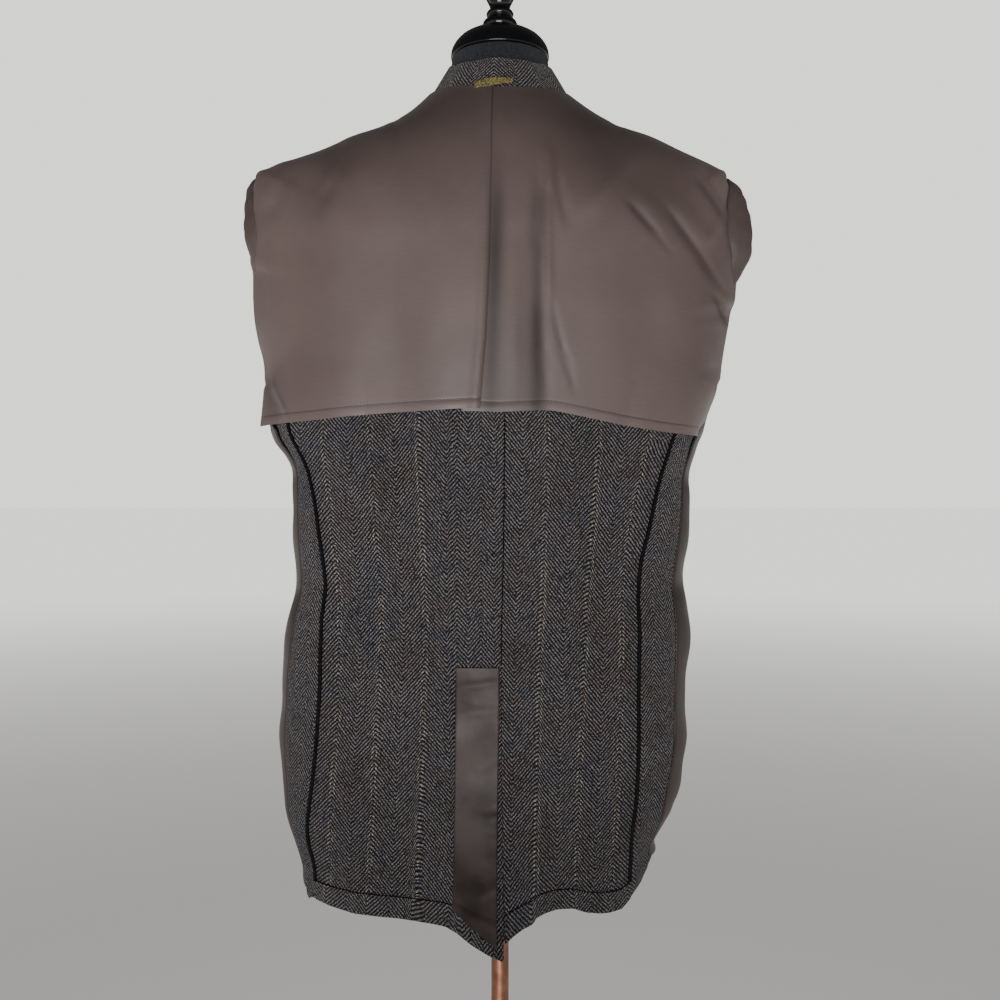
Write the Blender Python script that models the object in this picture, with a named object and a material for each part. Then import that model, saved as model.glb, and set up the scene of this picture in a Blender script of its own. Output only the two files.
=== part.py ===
"""A half-lined sport coat worn inside out on a limbless dress form.

The coat's back faces -Y, +X is to the right when it is looked at from there, and +Z is up.
The origin is the centre of the stand's base, on the floor. Everything is in metres.

The coat is one drawn-in surface: a loop round the body at each level, read from a short table.
A place on it is an angle (degrees from the centre back, positive towards +X) and a level
(the height of that loop at the centre back). Each piece is a grid of such places with a wall
standing on it, and what lies on a panel is made from that panel's own places, moved out.
"""
import math

import bmesh
import bpy
import numpy as np

# Walls and gaps
CLOTH = 0.0016
LINING = 0.0010
GAP = 0.0003
SEAM = 0.0004
LAYER = 0.0006
ALLOWANCE_THICK = 0.0018

# The coat's loops, hem to neck seam.
# level (height at centre back), height at the side, height at centre front,
# half width to the left, to the right, depth behind, depth in front
COAT_LOOPS = (
    (0.700, 0.700, 0.688, 0.1950, 0.1520, 0.104, 0.118),
    (0.735, 0.735, 0.725, 0.2050, 0.1630, 0.104, 0.119),
    (0.770, 0.770, 0.762, 0.2180, 0.1755, 0.104, 0.119),
    (0.810, 0.810, 0.804, 0.2225, 0.1865, 0.104, 0.118),
    (0.855, 0.855, 0.851, 0.2255, 0.1905, 0.104, 0.117),
    (0.930, 0.930, 0.928, 0.2185, 0.1895, 0.103, 0.114),
    (1.011, 1.011, 1.010, 0.2075, 0.1870, 0.101, 0.111),
    (1.070, 1.070, 1.069, 0.2105, 0.1925, 0.102, 0.113),
    (1.125, 1.127, 1.122, 0.2130, 0.1935, 0.105, 0.117),
    (1.165, 1.172, 1.160, 0.2300, 0.2040, 0.107, 0.121),
    (1.200, 1.216, 1.193, 0.2355, 0.2180, 0.108, 0.124),
    (1.250, 1.287, 1.237, 0.2475, 0.2325, 0.110, 0.127),
    (1.300, 1.361, 1.279, 0.2505, 0.2375, 0.111, 0.128),
    (1.350, 1.4325, 1.322, 0.2450, 0.2280, 0.111, 0.126),
    (1.385, 1.4405, 1.352, 0.2220, 0.2110, 0.110, 0.122),
    (1.415, 1.4515, 1.378, 0.1870, 0.1870, 0.108, 0.117),
    (1.440, 1.4643, 1.402, 0.1560, 0.1580, 0.104, 0.110),
    (1.462, 1.4716, 1.424, 0.1260, 0.1285, 0.099, 0.101),
    (1.483, 1.4868, 1.444, 0.0950, 0.0980, 0.092, 0.087),
    (1.497, 1.5070, 1.458, 0.0725, 0.0725, 0.085, 0.072),
)
SQUARENESS = 2.3          # 2 is an ellipse, more is boxier
HEM, NECK = COAT_LOOPS[0][0], COAT_LOOPS[-1][0]
CHEST = 1.165             # the last level below the armholes' reach
SHOULDER_TIP = 1.350      # the level whose sides stand at the armholes' tops

# Where the side seams and the inner edges of their allowances run.
# level, then shares of the half width: left seam, right seam, left allowance, right allowance
SIDE_LINES = (
    (0.700, 0.966, 0.955, 0.930, 0.830),
    (0.735, 0.966, 0.925, 0.905, 0.787),
    (0.775, 0.966, 0.905, 0.874, 0.730),
    (0.805, 0.962, 0.882, 0.845, 0.714),
    (0.850, 0.957, 0.903, 0.805, 0.709),
    (0.905, 0.960, 0.911, 0.800, 0.711),
    (0.990, 0.959, 0.916, 0.830, 0.724),
    (1.040, 0.958, 0.922, 0.822, 0.722),
    (1.080, 0.958, 0.930, 0.830, 0.750),
    (1.135, 0.958, 0.950, 0.875, 0.812),
    (1.165, 0.958, 0.955, 0.890, 0.840),
)
# level, and how far the centre back seam stands to the right of the middle
CENTRE_LINE = (
    (0.700, 0.0040), (0.850, 0.0015), (0.970, 0.0014), (1.060, 0.0034), (1.180, 0.0047), (1.300, 0.0),
)
# level, and the lining pleat's folded edge
PLEAT_LINE = ((1.180, -0.0190), (1.257, -0.0125), (1.330, -0.0096), (1.495, -0.0072))
PLEAT_UNDERLAY = -0.036

# How far the hem stands above its level, by distance across, on the left and right backs
HEM_LEFT = (
    (-0.200, 0.001), (-0.066, 0.003), (-0.045, 0.000), (-0.030, -0.005), (-0.015, -0.011), (0.006, -0.017),
)
HEM_RIGHT = ((-0.040, -0.004), (0.004, -0.003), (0.030, 0.0105), (0.047, 0.0165), (0.068, 0.0145),
             (0.090, 0.0070), (0.108, 0.0060), (0.124, 0.0130), (0.148, 0.0290))
HEM_FADE = 0.100          # above this height over the hem its waves are gone

# What lies on the backs
BINDING_REACH = (0.0052, 0.0004)  # from the allowance's inner edge to the binding's two edges
BINDING_LIFT = 0.0002
CENTRE_STRIP = -0.0165    # where the pressed-over centre allowances end
CENTRE_START = 0.003      # how far above the vent's top they begin

# The vent
VENT_ROWS = 6             # body levels up to its top
FACING_RISE = 0.016       # how far above the hem its facing ends
FACING_WIDTH = 0.0435
UNDERLAP = 0.038
KICK_TOP, KICK_OUT = 0.86, 0.044
KICK_LEFT, KICK_RIGHT = 0.085, 0.058

# Armhole: an oval in the side view
ARM_TOP, ARM_LOW = 1.4325, 1.220
ARM_HALF = 0.068          # half its width, front to back
ARM_LEAN = 0.020          # how far forward its bottom stands
ARM_STEP = 30             # degrees between the places sampled on it
ARM_SEAM = 60             # degrees from the oval's bottom to where the side seams enter it
FRONT_SEAM = 108          # angle of the seam between side body and front

# Front edge: level, and distance from the centre front
FRONT_EDGE = (
    (0.700, 0.098), (0.722, 0.072), (0.770, 0.050), (0.850, 0.034), (1.000, 0.019), (1.120, 0.013),
    (1.200, 0.022), (1.300, 0.033), (1.400, 0.043), (1.497, 0.0536),
)
FACING_COLUMNS = 2
LAPEL_LEVELS = (1.135, 1.395)
LAPEL_WIDTH = 0.078
LAPEL_SHARES = (0.0, 0.34, 0.67, 1.0)

# How far the linings stand off the cloth, and the turn where the side lining's top starts
SIDE_BULGE, ARMHOLE_BULGE, FRONT_BULGE = 0.0022, 0.0030, 0.0030
LINING_TURN = 168.0

# The half lining: the level of its hem, and how far its corner hangs lower and stands out, left and right
LINING_HEM = 1.1845
LINING_CORNER = {-1: 0.012, 1: 0.019}
LINING_FLARE = {-1: 0.0180, 1: 0.0080}
LINING_EDGE = 92.0        # angle of its free side edge

BODY_LEVELS = (0.700, 0.722, 0.770, 0.820, 0.880, 0.945, 1.010, 1.070, 1.125, 1.165)
SHOULDER_LEVELS = (1.385, 1.415, 1.440, 1.462, 1.483)
BACK_COLUMNS = 10
STRIP_COLUMN = 7
FRONT_COLUMNS = 6
SIDE_COLUMNS = 4
RISE_ROWS = 3

# Sleeves, armhole to cuff: height at the form's side, height at the coat's side,
# how deep inside the coat those two stand, half width front to back
SLEEVE_RINGS = (
    (1.412, 1.224, 0.018, 0.007, 0.0665),
    (1.340, 1.196, 0.031, 0.007, 0.0700),
    (1.260, 1.168, 0.036, 0.007, 0.0730),
    (1.170, 1.115, 0.037, 0.007, 0.0740),
    (1.060, 1.045, 0.036, 0.006, 0.0720),
    (0.950, 0.950, 0.035, 0.006, 0.0680),
    (0.840, 0.840, 0.033, 0.005, 0.0600),
)
THROAT = (1.392, 1.246, 0.0170, 0.0080, 0.0610)
CUFF_DEPTH = 0.12         # share of the last ring's height by which the lining ends above the cuff
LINING_INSET = (0.0038, 0.0060)   # how far the lining stands inside its sleeve, across and front to back
SLEEVE_MOUTH = 0.0035     # how deep the sleeve's edge stands under the panels' edges
SLEEVE_SIDES = 360 // ARM_STEP
# The lining's roll at the armhole: size beside the armhole, share of the roll's reach
ROLL_RINGS = ((0.962, 0.03), (0.985, 0.55), (0.930, 1.00), (0.850, 0.85), (0.800, 0.10))
# Degrees from the armhole's top, and how far the roll stands out there on the left and on the right
ROLL_REACH = (
    (0, 0.0040, 0.0040), (30, 0.0085, 0.0150), (60, 0.0180, 0.0280), (90, 0.0175, 0.0270),
    (120, 0.0085, 0.0090), (150, 0.0050, 0.0050), (180, 0.0040, 0.0040),
)

# Collar: angle, rise and inward lean of its stand
COLLAR_LINE = (
    (0, 0.0365, 0.0200), (45, 0.0310, 0.0190), (90, 0.0315, 0.0175), (115, 0.0220, 0.0110),
    (132, 0.0120, 0.0060),
)
COLLAR_THICK = 0.0040
COLLAR_WALL = 0.0017
FALL_END = 0.007
COLLAR_STATIONS = 21

# Dress form, top to bottom:
# height behind, at the side, in front, half width, depth behind, depth in front, squareness
FORM_NECK = (
    (1.5548, 1.5548, 1.5548, 0.0478, 0.0478, 0.0478, 2.0),
    (1.5450, 1.5450, 1.5450, 0.0482, 0.0482, 0.0482, 2.0),
    (1.5350, 1.5360, 1.5330, 0.0490, 0.0495, 0.0490, 2.0),
    (1.5240, 1.5260, 1.5180, 0.0520, 0.0545, 0.0515, 2.0),
    (1.5130, 1.5180, 1.5020, 0.0575, 0.0635, 0.0560, 2.1),
    (1.5030, 1.5110, 1.4840, 0.0645, 0.0740, 0.0600, 2.2),
)
FORM_BODY = (
    (1.3830, 1.4350, 1.3400, 0.2010, 0.1060, 0.1130, 2.3),
    (1.3500, 1.4200, 1.3050, 0.2000, 0.1075, 0.1150, 2.3),
    (1.3000, 1.3550, 1.2650, 0.1900, 0.1050, 0.1170, 2.3),
    (1.2550, 1.2950, 1.2300, 0.1790, 0.1010, 0.1165, 2.3),
    (1.2000, 1.2200, 1.1900, 0.1680, 0.0960, 0.1130, 2.3),
    (1.1200, 1.1300, 1.1150, 0.1530, 0.0880, 0.1040, 2.3),
    (1.0300, 1.0300, 1.0300, 0.1430, 0.0830, 0.0960, 2.3),
    (0.9400, 0.9400, 0.9400, 0.1440, 0.0870, 0.0970, 2.3),
    (0.8600, 0.8600, 0.8600, 0.1480, 0.0900, 0.0970, 2.3),
    (0.8000, 0.8000, 0.8000, 0.1490, 0.0890, 0.0950, 2.3),
    (0.7680, 0.7680, 0.7680, 0.1460, 0.0860, 0.0920, 2.3),
    (0.7600, 0.7600, 0.7600, 0.1380, 0.0790, 0.0850, 2.3),
)
FORM_REST = 0.0005        # under the cloth that rests on the shoulders
FORM_CLEAR_FRONT = 0.0055
FORM_COLUMNS = 40

# Turned pieces: radius, height
NECK_CAP = (
    (0.0495, 1.5552), (0.0508, 1.5570), (0.0506, 1.5610), (0.0496, 1.5650), (0.0468, 1.5700), (0.0418, 1.5755),
    (0.0352, 1.5797), (0.0330, 1.5806), (0.0262, 1.5826), (0.0182, 1.5842),
)
FINIAL = (
    (0.0140, 1.5845), (0.0166, 1.5872), (0.0180, 1.5912), (0.0168, 1.5950), (0.0126, 1.5985), (0.0136, 1.6008),
    (0.0141, 1.6032), (0.0128, 1.6056), (0.0104, 1.6078), (0.0109, 1.6115), (0.0125, 1.6150), (0.0142, 1.6185),
    (0.0168, 1.6260), (0.0176, 1.6340), (0.0166, 1.6430), (0.0132, 1.6515), (0.0080, 1.6575), (0.0030, 1.6600),
)
POLE_RADIUS = 0.0090
FLANGE = ((0.0300, 0.7480), (0.0320, 0.7500), (0.0320, 0.7580), (0.0300, 0.7597))
BASE = (
    (0.1680, 0.0000), (0.1700, 0.0020), (0.1700, 0.0090), (0.1670, 0.0120), (0.0450, 0.0150), (0.0300, 0.0190),
    (0.0220, 0.0280), (0.0180, 0.0330),
)
TURNED_SIDES = 32

# Front buttons, on the hidden face: level and size
BUTTON_LEVELS = {"button_upper": 1.118, "button_lower": 1.018}
BUTTON_INSET = 0.019
BUTTON_RADIUS, BUTTON_THICK = 0.010, 0.0030

HANGER_LEFT, HANGER_RIGHT = -0.0245, 0.0125
HANGER_HEIGHTS = (1.4985, 1.5040)
HANGER_WIDTH, HANGER_THICK, HANGER_BOW = 0.0062, 0.0010, 0.0020


def material(name, colour, roughness, metallic=0.0):
    """A Principled material with one colour."""
    made = bpy.data.materials.new(name)
    made.use_nodes = True
    shader = made.node_tree.nodes["Principled BSDF"]
    shader.inputs["Base Color"].default_value = (*colour, 1.0)
    shader.inputs["Roughness"].default_value = roughness
    shader.inputs["Metallic"].default_value = metallic
    return made


def smooth(value):
    """0 below 0, 1 above 1, and an S between."""
    value = np.clip(value, 0.0, 1.0)
    return value * value * (3.0 - 2.0 * value)


def read_line(line, at):
    """The second column of a two-column table, at any value of its first."""
    table = np.array(line, float)
    return np.interp(at, table[:, 0], table[:, 1])


def read_table(rows, at):
    """A table's columns at any value of its first, on a smooth curve through its rows."""
    table = np.array(rows, float)
    known, values = table[:, 0], table[:, 1:]
    at = np.clip(np.asarray(at, float), known[0], known[-1])
    slopes = np.gradient(values, known, axis=0)
    k = np.clip(np.searchsorted(known, at, side="right") - 1, 0, len(known) - 2)
    step = (known[k + 1] - known[k])[..., None]
    t = (at - known[k])[..., None] / step
    return ((2 * t**3 - 3 * t**2 + 1) * values[k] + (t**3 - 2 * t**2 + t) * step * slopes[k]
            + (3 * t**2 - 2 * t**3) * values[k + 1] + (t**3 - t**2) * step * slopes[k + 1])


def loop_point(angle, behind, side, front, left, right, deep_back, deep_front, square):
    """A superellipse round the body, whose height changes from behind to side to front."""
    across, along = np.sin(np.radians(angle)), np.cos(np.radians(angle))
    half = np.where(across < 0, left, right)
    deep = np.where(along > 0, -deep_back, deep_front)
    x = half * np.sign(across) * np.abs(across) ** (2.0 / square)
    y = deep * np.abs(along) ** (2.0 / square)
    z = np.where(along > 0, behind, front) * along**2 + side * across**2
    return np.stack(np.broadcast_arrays(x, y, z), axis=-1)


def coat_base(angle, level):
    """The coat's outer surface before its hem waves."""
    angle, level = np.broadcast_arrays(np.asarray(angle, float), np.asarray(level, float))
    side, front, left, right, deep_back, deep_front = np.moveaxis(read_table(COAT_LOOPS, level), -1, 0)
    return loop_point(angle, level, side, front, left, right, deep_back, deep_front, SQUARENESS)


def coat_normal(angle, level):
    """The outward direction of the coat's surface."""
    low, high = np.clip(level - 0.001, HEM, NECK), np.clip(level + 0.001, HEM, NECK)
    across = coat_base(angle + 0.6, level) - coat_base(angle - 0.6, level)
    up = coat_base(angle, high) - coat_base(angle, low)
    out = np.cross(across, up)
    return out / np.linalg.norm(out, axis=-1, keepdims=True)


def hem_shape(point, angle, level, right_side):
    """Moves points near the hem: its waves up and down, and the vent corners that stand out behind."""
    moved = point.copy()
    x = point[..., 0]
    rise = np.where(right_side, read_line(HEM_RIGHT, x), read_line(HEM_LEFT, x))
    rise = rise * (1.0 - smooth((np.abs(angle) - 90.0) / 50.0))
    moved[..., 2] += rise * np.clip((HEM + HEM_FADE - level) / HEM_FADE, 0.0, 1.0)
    sideways = np.where(x < 0, smooth((x + KICK_LEFT) / KICK_LEFT), 1.0 - smooth(x / KICK_RIGHT))
    height = np.clip((KICK_TOP - moved[..., 2]) / (KICK_TOP - HEM), 0.0, 1.2) ** 1.9
    moved[..., 1] -= np.where(np.abs(angle) < 90.0, KICK_OUT * height * sideways, 0.0)
    return moved


def coat_at(angle, level, lift, right_side):
    """A point standing lift out of the coat's surface."""
    angle, level = np.broadcast_arrays(np.asarray(angle, float), np.asarray(level, float))
    point = coat_base(angle, level) + coat_normal(angle, level) * np.asarray(lift)[..., None]
    return hem_shape(point, angle, level, right_side)


def angle_of(share):
    """The angle whose distance across is this share of the half width."""
    return np.degrees(np.arcsin(np.sign(share) * np.abs(share) ** (SQUARENESS / 2.0)))


def angle_at(x, level):
    """The angle behind at a distance across."""
    side, front, left, right, deep_back, deep_front = np.moveaxis(read_table(COAT_LOOPS, level), -1, 0)
    return angle_of(x / np.where(np.asarray(x) < 0, left, right))


def shifted(angle, level, distance):
    """An angle moved a distance along its loop, towards +X behind."""
    speed = np.linalg.norm(coat_base(angle + 0.5, level) - coat_base(angle - 0.5, level), axis=-1)
    return angle + distance / speed


def arc_angles(level, start, end, shares):
    """Angles at shares of the arc between two angles of one loop."""
    fine = np.linspace(start, end, 241)
    steps = np.linalg.norm(np.diff(coat_base(fine, level), axis=0), axis=1)
    run = np.concatenate([[0.0], np.cumsum(steps)])
    return np.interp(np.asarray(shares) * run[-1], run, fine)


def arc_length(level, start, end):
    """The length of a loop between two angles."""
    fine = coat_base(np.linspace(start, end, 241), level)
    return np.linalg.norm(np.diff(fine, axis=0), axis=1).sum()


def on_coat(y, z, hand):
    """The angle and level of the coat's point at a depth and a height, on one side of it."""
    y, z = np.broadcast_arrays(np.asarray(y, float), np.asarray(z, float))
    level = z.copy()
    for _ in range(80):
        deep_back, deep_front = np.moveaxis(read_table(COAT_LOOPS, level), -1, 0)[4:6]
        deep = np.where(y < 0, deep_back, deep_front)
        turn = np.clip(np.abs(y) / deep, 0.0, 1.0) ** (SQUARENESS / 2.0)
        angle = hand * np.degrees(np.arccos(np.where(y < 0, turn, -turn)))
        level = np.clip(level - 0.6 * (coat_base(angle, level)[..., 2] - z), HEM, NECK)
    return angle, level


def forward(turn):
    """How far forward the armhole's places stand at a turn in radians."""
    return ARM_LEAN * (1.0 - np.cos(turn)) / 2.0


def armhole(hand, turn):
    """The armhole's edge: angle and level at a turn in degrees, 0 at its top and 90 in front."""
    middle, half = (ARM_TOP + ARM_LOW) / 2.0, (ARM_TOP - ARM_LOW) / 2.0
    turn = np.radians(turn)
    return on_coat(ARM_HALF * np.sin(turn) + forward(turn), middle + half * np.cos(turn), hand)


def triangles(rows, columns, closed):
    """Corner indices of a grid's faces, cut along one diagonal everywhere, so that stacked layers stay apart."""
    index = np.arange(rows * columns).reshape(rows, columns)
    if closed:
        index = np.concatenate([index, index[:, :1]], axis=1)
    a, b, c, d = index[:-1, :-1], index[:-1, 1:], index[1:, 1:], index[1:, :-1]
    halves = np.stack([a, b, c], axis=-1), np.stack([a, c, d], axis=-1)
    return np.concatenate([half.reshape(-1, 3) for half in halves])


def solid(name, vertices, faces, paint, smooth_angle=40.0):
    """A closed mesh object from its corners and faces."""
    mesh = bpy.data.meshes.new(name)
    mesh.from_pydata([tuple(v) for v in vertices], [], [tuple(int(i) for i in f) for f in faces])
    work = bmesh.new()
    work.from_mesh(mesh)
    bmesh.ops.recalc_face_normals(work, faces=work.faces)
    work.to_mesh(mesh)
    work.free()
    mesh.materials.append(material(name, *paint))
    mesh.shade_smooth()
    mesh.set_sharp_from_angle(angle=math.radians(smooth_angle))
    made = bpy.data.objects.new(name, mesh)
    bpy.context.scene.collection.objects.link(made)
    return made


def wall(name, outer, inner, paint, closed=False):
    """A wall between two grids of points; a closed one is a tube."""
    rows, columns = outer.shape[:2]
    count = rows * columns
    skin = triangles(rows, columns, closed)
    faces = [*skin, *(skin[:, ::-1] + count)]
    index = np.arange(count).reshape(rows, columns)
    if closed:
        rims = [np.append(index[0], index[0, 0]), np.append(index[-1], index[-1, 0])]
    else:
        rims = [np.concatenate([index[0], index[1:, -1], index[-1, -2::-1], index[-2::-1, 0]])]
    for rim in rims:
        faces += [(a, b, b + count, a + count) for a, b in zip(rim[:-1], rim[1:])]
    return solid(name, np.concatenate([outer.reshape(-1, 3), inner.reshape(-1, 3)]), faces, paint)


def panel(name, angle, level, low, high, right_side, paint):
    """A piece of the coat between two lifts over its surface."""
    low, high = np.broadcast_to(low, angle.shape), np.broadcast_to(high, angle.shape)
    if angle[0, -1] < angle[0, 0]:
        angle, level, low, high = angle[:, ::-1], level[:, ::-1], low[:, ::-1], high[:, ::-1]
    return wall(name, coat_at(angle, level, high, right_side), coat_at(angle, level, low, right_side), paint)


def back_grid(hand):
    """Places of a back panel: columns from the centre seam to the side seam, armhole and shoulder seam."""
    seam_column, strip_column = (1, 3) if hand < 0 else (2, 4)
    meet_angle, meet_level = armhole(hand, 180.0 + ARM_SEAM)
    edge_angle, edge_level = armhole(hand, np.arange(180.0 + ARM_SEAM, 361.0, ARM_STEP))
    rise = np.linspace(CHEST, meet_level, RISE_ROWS + 1)[1:]
    levels = np.concatenate([BODY_LEVELS, rise, edge_level[1:], SHOULDER_LEVELS, [NECK - GAP]])
    lines = np.array(SIDE_LINES)
    chest_seam = hand * angle_of(lines[-1, seam_column])
    even = np.linspace(0.0, 1.0, BACK_COLUMNS + 1)
    angles = []
    for level in levels:
        start = angle_at(read_line(CENTRE_LINE, level), level)
        if level <= CHEST:
            end = hand * angle_of(np.interp(level, lines[:, 0], lines[:, seam_column]))
        elif level <= meet_level:
            end = chest_seam + (meet_angle - chest_seam) * (level - CHEST) / (meet_level - CHEST)
        elif level <= SHOULDER_TIP + 1e-6:
            end = np.interp(level, edge_level, edge_angle)
        else:
            end = hand * 90.0
        start = shifted(start, level, hand * SEAM / 2.0)
        end = shifted(end, level, -hand * SEAM / 2.0)
        whole = arc_length(level, start, end)
        strip = hand * angle_of(np.interp(level, lines[:, 0], lines[:, strip_column]))
        strip = arc_length(level, start, strip) / whole
        facing = FACING_WIDTH / whole
        body = np.concatenate([[0.0, facing / 2.0], np.linspace(facing, strip, STRIP_COLUMN - 1),
                               np.linspace(strip, 1.0, BACK_COLUMNS - STRIP_COLUMN + 1)[1:]])
        mix = smooth((level - CHEST) / 0.10)
        angles.append(arc_angles(level, start, end, body * (1.0 - mix) + even * mix))
    return np.array(angles), np.repeat(levels[:, None], BACK_COLUMNS + 1, axis=1)


def side_grid(hand):
    """Places of a side body: columns from the side seam to the front seam, up to the armhole's lower arc."""
    seam_column = 1 if hand < 0 else 2
    lines = np.array(SIDE_LINES)
    shares = np.linspace(0.0, 1.0, SIDE_COLUMNS + 1)
    angles, levels = [], []
    for level in BODY_LEVELS:
        start = hand * angle_of(np.interp(level, lines[:, 0], lines[:, seam_column]))
        start = shifted(start, level, hand * SEAM / 2.0)
        end = shifted(hand * FRONT_SEAM, level, -hand * SEAM / 2.0)
        angles.append(arc_angles(level, start, end, shares))
        levels.append(np.full(len(shares), level))
    top_angle, top_level = armhole(hand, 180.0 + ARM_SEAM - 2.0 * ARM_SEAM * shares)
    top_angle[0] = shifted(top_angle[0], top_level[0], hand * SEAM / 2.0)
    top_angle[-1] = shifted(top_angle[-1], top_level[-1], -hand * SEAM / 2.0)
    for up in np.linspace(0.0, 1.0, RISE_ROWS + 1)[1:]:
        angles.append(angles[len(BODY_LEVELS) - 1] * (1.0 - up) + top_angle * up)
        levels.append(CHEST * (1.0 - up) + top_level * up)
    return np.array(angles), np.array(levels)


def front_grid(hand):
    """Places of a front: columns from the side, armhole and shoulder to the front edge and roll line."""
    meet_angle, meet_level = armhole(hand, 180.0 - ARM_SEAM)
    edge_angle, edge_level = armhole(hand, np.arange(180.0 - ARM_SEAM, -1.0, -ARM_STEP))
    rise = np.linspace(CHEST, meet_level, RISE_ROWS + 1)[1:]
    levels = np.concatenate([BODY_LEVELS, rise, edge_level[1:], SHOULDER_LEVELS, [NECK - GAP]])
    seam = hand * FRONT_SEAM
    shares = np.linspace(0.0, 1.0, FRONT_COLUMNS + 1)
    angles = []
    for level in levels:
        if level <= CHEST:
            start = seam
        elif level <= meet_level:
            start = seam + (meet_angle - seam) * (level - CHEST) / (meet_level - CHEST)
        elif level <= SHOULDER_TIP + 1e-6:
            start = np.interp(level, edge_level, edge_angle)
        else:
            start = hand * 90.0
        start = shifted(start, level, hand * SEAM / 2.0)
        angles.append(arc_angles(level, start, front_edge(hand, level), shares))
    return np.array(angles), np.repeat(levels[:, None], FRONT_COLUMNS + 1, axis=1)


def front_edge(hand, level):
    """The angle of the front edge at a level."""
    across = read_line(FRONT_EDGE, level)
    half = read_table(COAT_LOOPS, level)[..., 2 if hand < 0 else 3]
    return hand * (180.0 - angle_of(across / half))


def column_share(angle):
    """0 to 1 across a grid's columns."""
    return np.broadcast_to(np.linspace(0.0, 1.0, angle.shape[1]), angle.shape)


def add_backs(paint):
    """The back panels, their turned-up hems, the side-seam allowances and the bindings on them."""
    grids = {}
    for side, hand in (("left", -1), ("right", 1)):
        right = hand > 0
        angle, level = back_grid(hand)
        grids[hand] = angle, level
        panel("back_" + side, angle, level, -CLOTH, 0.0, right, paint["cloth"])
        hem = slice(0, 2)
        first = 2 if hand < 0 else 0
        inside = slice(first, STRIP_COLUMN)
        turned_up = angle[hem, inside].copy()
        turned_up[:, 0] = shifted(turned_up[:, 0], level[hem, first], 2.0 * hand * SEAM)
        panel("back_hem_" + side, turned_up, level[hem, inside], GAP, GAP + CLOTH, right, paint["cloth"])
        body = slice(0, len(BODY_LEVELS) + 1)
        strip = slice(STRIP_COLUMN, None)
        panel("side_allowance_" + side, angle[body, strip], level[body, strip], GAP, GAP + CLOTH, right, paint["cloth"])
        edge = angle[body, STRIP_COLUMN]
        edge_level = level[body, STRIP_COLUMN]
        bound = np.stack([shifted(edge, edge_level, -hand * reach) for reach in BINDING_REACH], axis=1)
        bound_level = np.stack([edge_level, edge_level], axis=1)
        low = GAP + BINDING_LIFT
        panel("side_binding_" + side, bound[1:], bound_level[1:], low, low + CLOTH, right, paint["binding"])
    return grids


def add_centre(grids, paint):
    """The centre seam's allowances, the vent's facing and the extension under it."""
    angle, level = grids[-1]
    rows = slice(VENT_ROWS - 1, len(BODY_LEVELS) + 5)
    strip = angle[rows, :2].copy()
    strip[:, 1] = angle_at(CENTRE_STRIP, level[rows, 1])
    strip_level = level[rows, :2].copy()
    strip_level[0] += CENTRE_START
    panel("centre_allowance", strip, strip_level, GAP, GAP + ALLOWANCE_THICK, False, paint["cloth"])
    bottom = np.zeros((VENT_ROWS, 3))
    bottom[0] = 1.0
    low = GAP + LAYER * bottom
    panel("vent_facing", angle[:VENT_ROWS, :3], level[:VENT_ROWS, :3] + FACING_RISE * bottom, low, low + LINING,
          False, paint["satin"])
    under_level = np.repeat(np.array(BODY_LEVELS[:VENT_ROWS])[:, None], 3, axis=1)
    under = angle_at(np.broadcast_to([-UNDERLAP, -UNDERLAP / 2.0, 0.0], under_level.shape), under_level)
    depth = np.full(under.shape, CLOTH + 2.0 * LAYER)
    depth[:2] += LAYER
    panel("vent_underlap", under, under_level, -depth - CLOTH, -depth, True, paint["cloth"])


def add_sides_and_fronts(paint):
    """Side bodies, fronts, their linings, the lapels and the buttons."""
    for side, hand in (("left", -1), ("right", 1)):
        right = hand > 0
        angle, level = side_grid(hand)
        panel("side_" + side, angle, level, -CLOTH, 0.0, right, paint["cloth"])
        bulge = SIDE_BULGE * np.sin(math.pi * column_share(angle))
        free, top_level = angle.copy(), level.copy()
        lined_top = level.shape[0] - RISE_ROWS
        arc_angle, arc_level = armhole(hand, np.linspace(LINING_TURN, 180.0 - ARM_SEAM, SIDE_COLUMNS + 1))
        up = np.linspace(0.0, 1.0, RISE_ROWS + 1)[1:, None]
        free[lined_top:] = free[lined_top - 1] * (1.0 - up) + arc_angle * up
        top_level[lined_top:] = CHEST * (1.0 - up) + arc_level * up
        free[lined_top:, -1] = angle[lined_top:, -1]
        bulge[lined_top - 1:] = ARMHOLE_BULGE
        bulge += LAYER
        panel("side_lining_" + side, free, top_level, bulge, bulge + LINING, right, paint["satin"])

        angle, level = front_grid(hand)
        panel("front_" + side, angle, level, -CLOTH, 0.0, right, paint["cloth"])
        keep = FRONT_COLUMNS + 1 - FACING_COLUMNS
        angle, level = angle[1:, :keep], level[1:, :keep]
        bulge = GAP + FRONT_BULGE * np.sin(math.pi * column_share(angle)) * smooth((level - HEM) / HEM_FADE)
        panel("front_lining_" + side, angle, level, bulge, bulge + LINING, right, paint["satin"])

        lapel_level = np.linspace(*LAPEL_LEVELS, 7)
        width = LAPEL_WIDTH * smooth((lapel_level - 1.11) / 0.26) ** 0.8
        edge = front_edge(hand, lapel_level)
        lapel = np.array([arc_angles(v, shifted(e, v, -hand * GAP), shifted(e, v, -hand * w), LAPEL_SHARES)
                          for v, e, w in zip(lapel_level, edge, width)])
        deep = np.full(lapel.shape, CLOTH + 2.0 * LAYER)
        deep[:, 0] = CLOTH + LAYER
        panel("lapel_" + side, lapel, np.repeat(lapel_level[:, None], len(LAPEL_SHARES), axis=1), -deep - CLOTH,
              -deep, right, paint["cloth"])


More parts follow.
